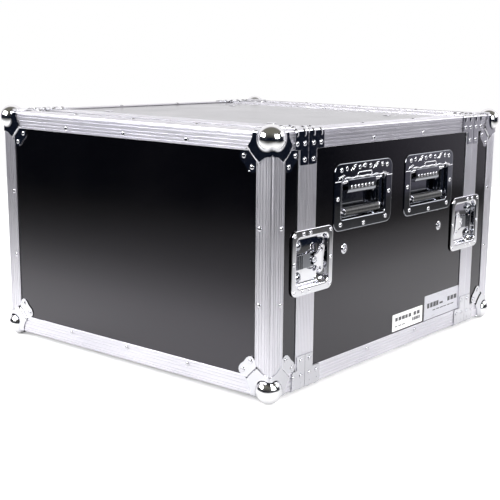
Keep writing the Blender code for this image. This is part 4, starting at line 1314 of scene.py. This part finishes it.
# ---- Latches
LATCH_ROLL = ((0.0, 0.8), (-0.3, 0.3), (-0.9, 0.0))         # (growth, depth) over the halves' rolled edge
LATCH_FILLET = 2.4
LATCH_BOWL = 4.2
LATCH_MOUTH_CORNER = 9.0
CORNER_RIVET_IN = (6.6, 6.8)        # from a half's far end and from its side
SEAM_RIVET_AT = 8.5                 # from the seam
SEAM_RIVET_IN = 6.0
END_RIVET_IN = 5.6
KEEPER_AT = -11.5                   # place of the keeper domes, from the seam
KEEPER_HALF = 13.0
KEEPER_PROFILE = ((-GAP - 2.0, LATCH_FLOOR + 0.2), (-8.6, LATCH_FLOOR + 0.2), (-9.4, 8.2), (-11.2, 8.2),
                  (-12.0, LATCH_FLOOR + 0.2))
SEAT_PROFILE = ((3.2, -0.2), (3.0, 0.7), (2.2, 1.1), (1.2, 0.7), (1.0, -0.2))
ROTOR_PROFILE = ((ROTOR_R - 0.4, -9.0), (ROTOR_R, -8.6), (ROTOR_R, -7.3), (ROTOR_R - 0.5, -6.9),
                 (BOSS_R + 1.2, -6.9), (BOSS_R, -6.5), (BOSS_R, -2.4), (BOSS_R - 0.2, -1.9),
                 (BOSS_R - 0.9, -1.5), (1.7, -1.4), (1.5, -1.9))


def latch_plane(sx, end):
    """Seam line at the latch, on the case's outer face; a runs from the seam into the body."""
    return Plane((sx * HALF_X, SEAM[end], Z_MID + LATCH_Z), (0, -end, 0), (0, 0, 1), (sx, 0, 0))


def u_outline(start, reach, half, radius, steps=6):
    """From the seam round the far end and back."""
    radius = max(radius, 0.5)
    points = [(start, -half)]
    points += arc((reach - radius, -half + radius), radius, -90.0, 0.0, steps)
    points += arc((reach - radius, half - radius), radius, 0.0, 90.0, steps)
    points.append((start, half))
    return points


def sag(b):
    """Extra depth of the dish floor away from the latch's middle height."""
    return FLOOR_SAG * (b / LATCH_OPEN_Z) ** 2


def latch_half(sx, end, part, kind, stands_for):
    """One half of the recessed dish, open at the seam."""
    tag = f"{END[end]}_{SIDE[sx]}"
    plane = latch_plane(sx, end)
    sign = 1 if part == "body" else -1
    reach = LATCH_REACH[part]
    start = GAP / 2
    face = -GAP - SHEET

    def rim(growth, depth):
        outline = u_outline(start, reach + growth, LATCH_HALF_Z + growth, LATCH_CORNER + growth)
        return [plane.at(sign * a, b, -depth) for a, b in outline]

    def mouth(growth, depth, sagging):
        outline = u_outline(start, reach - LATCH_RIM + growth, LATCH_OPEN_Z + growth,
                            LATCH_MOUTH_CORNER + growth)
        return [plane.at(sign * a, b, -depth - sagging * sag(b)) for a, b in outline]

    loops = [rim(growth, face + depth) for growth, depth in LATCH_ROLL]
    loops += [rim(LATCH_ROLL[-1][0] - FLAT_EDGE, face), mouth(LATCH_FILLET + FLAT_EDGE, face, 0)]
    loops += [mouth(growth, depth, 0) for growth, depth in mouth_steps(face, LATCH_FILLET)]
    loops += [mouth(growth, depth, 1) for growth, depth in foot_steps(LATCH_FLOOR, LATCH_BOWL)]
    shape = Shape()
    loft(shape, loops, False)
    edge = u_outline(start, reach - LATCH_RIM - LATCH_BOWL, LATCH_OPEN_Z - LATCH_BOWL,
                     LATCH_MOUTH_CORNER - LATCH_BOWL)
    rows = steps_between(edge[0][1], edge[-1][1], 3.0)
    flat, faces = triangulate(edge + [(start, b) for b in reversed(rows[1:-1])], [],
                              steps_between(start, reach - LATCH_RIM, 6.0), rows, 0.8)
    shape.add([plane.at(sign * a, b, -LATCH_FLOOR - sag(b)) for a, b in flat], faces)
    # The dish half gets the plating brightened as a painted highlight.
    piece = make_piece(f"latch_{kind}_{tag}", shape, "painted_highlight_steel", part_body(part, end),
                       f"{stands_for}_{tag}", (sx, 0, 0), 40.0)
    thicken(piece, SHEET, 0.3, 40.0)


def keeper_dome():
    """(radius, height) over a dome with a flat foot round it."""
    profile = [(DOME_R, -LATCH_FLOOR - 0.8), (DOME_R, -LATCH_FLOOR + 0.5), (DOME_R - 0.8, -LATCH_FLOOR + 0.9)]
    for angle in (10.0, 25.0, 40.0, 55.0, 70.0, 82.0):
        turn = math.radians(angle)
        profile.append(((DOME_R - 1.4) * math.cos(turn), -LATCH_FLOOR + DOME_HIGH * math.sin(turn)))
    return profile


def latch_fixings(sx, end):
    """Rivets on both rims, the keeper and its domes in the lid's half and the rotor's seat in the body's."""
    tag = f"{END[end]}_{SIDE[sx]}"
    plane = latch_plane(sx, end)
    level = GAP + SHEET
    for part, sign in (("body", 1), ("lid", -1)):
        # The rim rivets get the plating brightened as a painted highlight.
        rivets = Shape()
        reach = LATCH_REACH[part]
        places = ((reach - CORNER_RIVET_IN[0], LATCH_HALF_Z - CORNER_RIVET_IN[1]),
                  (SEAM_RIVET_AT, LATCH_HALF_Z - SEAM_RIVET_IN))
        for sz in (-1, 1):
            for along, up in places:
                rivet(rivets, plane, sign * along, sz * up, level, LATCH_RIVET_R)
        rivet(rivets, plane, sign * (reach - END_RIVET_IN), 0.0, level, LATCH_RIVET_R)
        fittings = Shape()
        if part == "lid":
            solid_loft(fittings, [[plane.at(a, b, -depth) for a, depth in KEEPER_PROFILE]
                                  for b in (-KEEPER_HALF, 0.6 - KEEPER_HALF, KEEPER_HALF - 0.6, KEEPER_HALF)])
            for b in (-KEEPER_DOME, KEEPER_DOME):
                lathe(fittings, plane, KEEPER_AT, b, keeper_dome(), 32)
        else:
            lathe(fittings, plane, ROTOR_AT, 0.0,
                  [(ROTOR_R + wider, height - LATCH_FLOOR) for wider, height in SEAT_PROFILE], 36)
        # The keeper, its domes and the rotor's seat get the plating darkened as painted shade.
        for kind, shape, finish in (("fixings", rivets, "painted_highlight_steel"), ("fittings", fittings, "painted_shade_steel")):
            make_piece(f"latch_{part}_{kind}_{tag}", shape, finish, part_body(part, end), sharp=50.0)


def latch_rotor(sx, end):
    """Round base plate and stud, with a small recess in the stud's crown."""
    tag = f"{END[end]}_{SIDE[sx]}"
    shape = Shape()
    lathe(shape, latch_plane(sx, end), ROTOR_AT, 0.0, ROTOR_PROFILE, 32)
    # The hub gets the plating brightened as a painted highlight.
    make_piece(f"latch_hub_{tag}", shape, "painted_highlight_steel", f"rotor_{tag}", f"latch_rotor_{tag}", sharp=40.0)


WING_LOBE = 6.4
WING_WAIST = ((10.0, 14.0), (6.6, 10.6), (3.0, 9.3), (-0.2, 8.8), (-1.4, 7.6), (-1.4, BOSS_R + 0.6))
WING_HOLE_R = 2.8
WING_HOLE_IN = (7.2, 7.6)           # from the wing's outer edge and from its side
WING_THICK = 1.9
WING_TOP = 1.6                      # depth of the wing's outer face at its middle


def wing_outline():
    """Upper half; the lower half mirrors it."""
    far = ROTOR_AT + WING_REACH
    upper = [(far - 1.2, 0.0), (far - 0.8, 6.0), (far, WING_HALF - WING_LOBE - 2.0)]
    upper += arc((far - WING_LOBE, WING_HALF - WING_LOBE), WING_LOBE, 0.0, 125.0, 8)
    upper += [(ROTOR_AT + a, b) for a, b in WING_WAIST]
    upper += arc((ROTOR_AT, 0.0), BOSS_R + 0.6, 90.0, 0.0, 6)
    return upper


def latch_wing(sx, end):
    """Butterfly plate with two holes and a curled outer edge."""
    tag = f"{END[end]}_{SIDE[sx]}"
    plane = latch_plane(sx, end)
    far = ROTOR_AT + WING_REACH
    upper = wing_outline()
    outline = upper + [(a, -b) for a, b in reversed(upper[:-1])][:-1]
    holes = [[(far - WING_HOLE_IN[0] + a, sign * (WING_HALF - WING_HOLE_IN[1]) + b)
              for a, b in circle(WING_HOLE_R, 14)] for sign in (-1, 1)]
    flat, faces = triangulate(outline, holes, steps_between(ROTOR_AT - 3.0, far, 2.2),
                              steps_between(-WING_HALF, WING_HALF, 2.2), 0.8)

    def dish(a, b):
        curl = 0.55 * smooth_step((4.5 - (far - a)) / 4.0)
        return WING_TOP - WING_LEAN * b - curl

    shape = Shape()
    shape.add([plane.at(a, b, -dish(a, b)) for a, b in flat], faces)
    # The wing gets the plating brightened as a painted highlight.
    piece = make_piece(f"latch_butterfly_{tag}", shape, "painted_highlight_steel", f"wing_{tag}",
                       f"latch_wing_{tag}", (sx, 0, 0), 35.0)
    thicken(piece, WING_THICK, 0.45, 35.0)


HOOK_NOSE = -15.0                   # tip of the hook, beyond the seam
HOOK_TAIL = 38.0
HOOK_TOP = 5.4                      # depth of the hook's outer face
HOOK_SLOT = BOSS_R + 0.5


def latch_hook(sx, end):
    """Slotted draw plate with a ribbed nose that reaches over the keeper."""
    tag = f"{END[end]}_{SIDE[sx]}"
    plane = latch_plane(sx, end)
    section = [(HOOK_NOSE, 7.0)]
    for rib in (1, 3, 5):
        crown = arc((HOOK_NOSE + rib * RIB_R, 0.0), RIB_R, 180.0, 0.0, 8)
        section += [(a, HOOK_TOP - 0.9 * b) for a, b in crown]
    section += [(HOOK_TAIL, HOOK_TOP), (HOOK_TAIL, 6.5), (HOOK_NOSE + 2.4, 6.6), (HOOK_NOSE + 2.1, 7.7),
                (HOOK_NOSE, 7.7)]
    shape = Shape()
    solid_loft(shape, [[plane.at(a, b, -depth) for a, depth in section] for b in (-HOOK_HALF, HOOK_HALF)])
    # The hook gets the plating darkened as painted shade.
    piece = make_piece(f"latch_draw_hook_{tag}", shape, "painted_shade_steel", f"hook_{tag}",
                       f"latch_hook_{tag}", sharp=30.0)
    corners = (plane.at(ROTOR_AT - HOOK_SLOT, -HOOK_SLOT, -9.0),
               plane.at(ROTOR_AT + HOOK_SLOT + HOOK_TRAVEL, HOOK_SLOT, -3.0))
    cut(piece, loose_box([min(pair) for pair in zip(*corners)], [max(pair) for pair in zip(*corners)]))
    round_edges(piece, 0.35)
    settle(piece, 30.0)


# ---- Foam, labels and loose fixings
# (growth, depth below the extrusions) over the pad
FOAM_PROFILE = ((-0.6, GAP), (0.0, 1.2), (0.0, FOAM_THICK - 3.0), (-0.8, FOAM_THICK - 1.0),
                (-2.6, FOAM_THICK), (-40.0, FOAM_THICK + 0.2))


def lid_foam(end):
    """Soft rounded pad with a slightly domed face."""
    corner = (HALF_X - CORE - FOAM_CLEAR, HALF_Z - CORE - FOAM_CLEAR)
    loops = []
    for growth, depth in FOAM_PROFILE:
        outline = grown((-corner[0], -corner[1]), corner, FOAM_CORNER, growth, 4.0, 8)
        loops.append([(x, end * (HALF_Y - CORE - depth), Z_MID + z) for x, z in outline])
    shape = Shape()
    solid_loft(shape, loops)
    lid = f"{END[end]}_lid"
    piece = make_piece(f"{END[end]}_foam_pad", shape, "foam", lid, f"{lid}_foam", sharp=60.0)


# (Y, height) corners, and rows of plain dashes: (left, right, middle, height, count) as shares of the label
WHITE_LABEL = ((-5.0, 32.5), (96.0, 63.0))
WHITE_ROWS = ((0.09, 0.64, 0.67, 0.22, 5), (0.7, 0.93, 0.67, 0.22, 2), (0.66, 0.93, 0.36, 0.2, 5),
              (0.08, 0.44, 0.26, 0.06, 3))
SILVER_LABEL = ((103.0, 31.0), (232.0, 77.0))
SILVER_ROWS = ((0.08, 0.42, 0.56, 0.2, 4), (0.43, 0.56, 0.52, 0.08, 1), (0.66, 0.94, 0.58, 0.18, 3),
               (0.24, 0.86, 0.32, 0.04, 6))
INK_THICK = 0.04


def slab(shape, plane, low, high, radius, thick):
    """Flat rounded rectangle lying on a plane."""
    outline = rounded_rectangle(low, high, radius, 3)
    solid_loft(shape, [[plane.at(a, b, level) for a, b in outline] for level in (0.0, thick)])


def label(name, corners, finish, rows):
    """Thin sticker on the right side, printed with rows of dashes of slightly different lengths."""
    plane = Plane((HALF_X - PLY_OUT, 0, Z_MID - HALF_Z), (0, 1, 0), (0, 0, 1), (1, 0, 0))
    low, high = corners
    sticker = Shape()
    slab(sticker, plane, low, high, 1.2, LABEL_THICK)
    make_piece(name, sticker, finish, "case_body")

    def place(along, up):
        return (low[0] + (high[0] - low[0]) * along, low[1] + (high[1] - low[1]) * up)

    print_marks = Shape()
    for left, right, middle, tall, count in rows:
        pitch = (right - left) / count
        for i in range(count):
            start = left + pitch * i
            stop = start + pitch * (0.74 + 0.07 * (i * 7 % 3))
            slab(print_marks, plane, place(start, middle - tall / 2), place(stop, middle + tall / 2), 0.3,
                 LABEL_THICK + INK_THICK)
    make_piece(f"{name}_print", print_marks, "ink", "case_body")


def edge_rivets():
    """Rivets along the extrusions, the clamps and the petals, and the walls' cup-washer bolts."""
    body = Shape()
    lids = {-1: Shape(), 1: Shape()}
    for sx in (-1, 1):
        side = side_plane(sx)
        for sz in (-1, 1):
            level = level_plane(sz)
            for y in BODY_RIVETS:
                rivet(body, side, y, sz * (HALF_Z - RIVET_IN), 0.0)
                rivet(body, level, sx * (HALF_X - RIVET_IN), y, 0.0)
            for end, lid in lids.items():
                clamp_rivets(body, "body", end, sx, sz)
                clamp_rivets(lid, "lid", end, sx, sz)
                petal_rivets(lid, end, sx, sz)
                rivet(lid, end_plane(end), sx * (HALF_X - RIVET_IN), sz * FACE_RIVET_Z, 0.0)
                rivet(lid, side, end * (HALF_Y - RIVET_IN), sz * FACE_RIVET_Z, 0.0)
                cup_bolt(body, level, sx * TOP_BOLT_X, TOP_BOLT_Y[end], -PLY_OUT)
        for end in (-1, 1):
            cup_bolt(body, side, BOLT_Y[end], BOLT_Z, -PLY_OUT)
    for end, lid in lids.items():
        for sz in (-1, 1):
            for x in FACE_RIVET_X:
                rivet(lid, end_plane(end), x, sz * (HALF_Z - RIVET_IN), 0.0)
                rivet(lid, level_plane(sz), x, end * (HALF_Y - RIVET_IN), 0.0)
    pieces = (("body_rivets", body, "case_body"), ("front_lid_rivets", lids[-1], "front_lid"),
              ("rear_lid_rivets", lids[1], "rear_lid"))
    for name, shape, rides_on in pieces:
        make_piece(name, shape, "plated_steel", rides_on, sharp=50.0)


def build():
    body_bars()
    for end in (-1, 1):
        lid_bars(end)
        lid_foam(end)
        for part in ("body", "lid"):
            seam_strip(part, end)
            for sx in (-1, 1):
                for sz in (-1, 1):
                    clamp(part, end, sx, sz)
        for sx in (-1, 1):
            handle_plate(sx, end)
            handle_bail(sx, end)
            latch_half(sx, end, "body", "bowl", "latch_dish")
            latch_half(sx, end, "lid", "lid_bowl", "latch_strike")
            latch_fixings(sx, end)
            latch_rotor(sx, end)
            latch_wing(sx, end)
            latch_hook(sx, end)
    ball_corners()
    edge_rivets()
    label("white_label", WHITE_LABEL, "paper", WHITE_ROWS)
    label("silver_label", SILVER_LABEL, "foil", SILVER_ROWS)


def dress_nodes():
    """Gives the CAD's own panels, rails and foam their materials."""
    for node, obj in NODES.items():
        finish = "foam" if "foam" in node else "black_steel" if "rail" in node else "laminate"
        obj.data.materials.clear()
        obj.data.materials.append(MATERIALS[finish])


make_camera()
make_floor()
make_world()
make_lights()
bpy.context.scene.view_settings.view_transform = "Standard"
dress_nodes()
build()
flatten_shading()
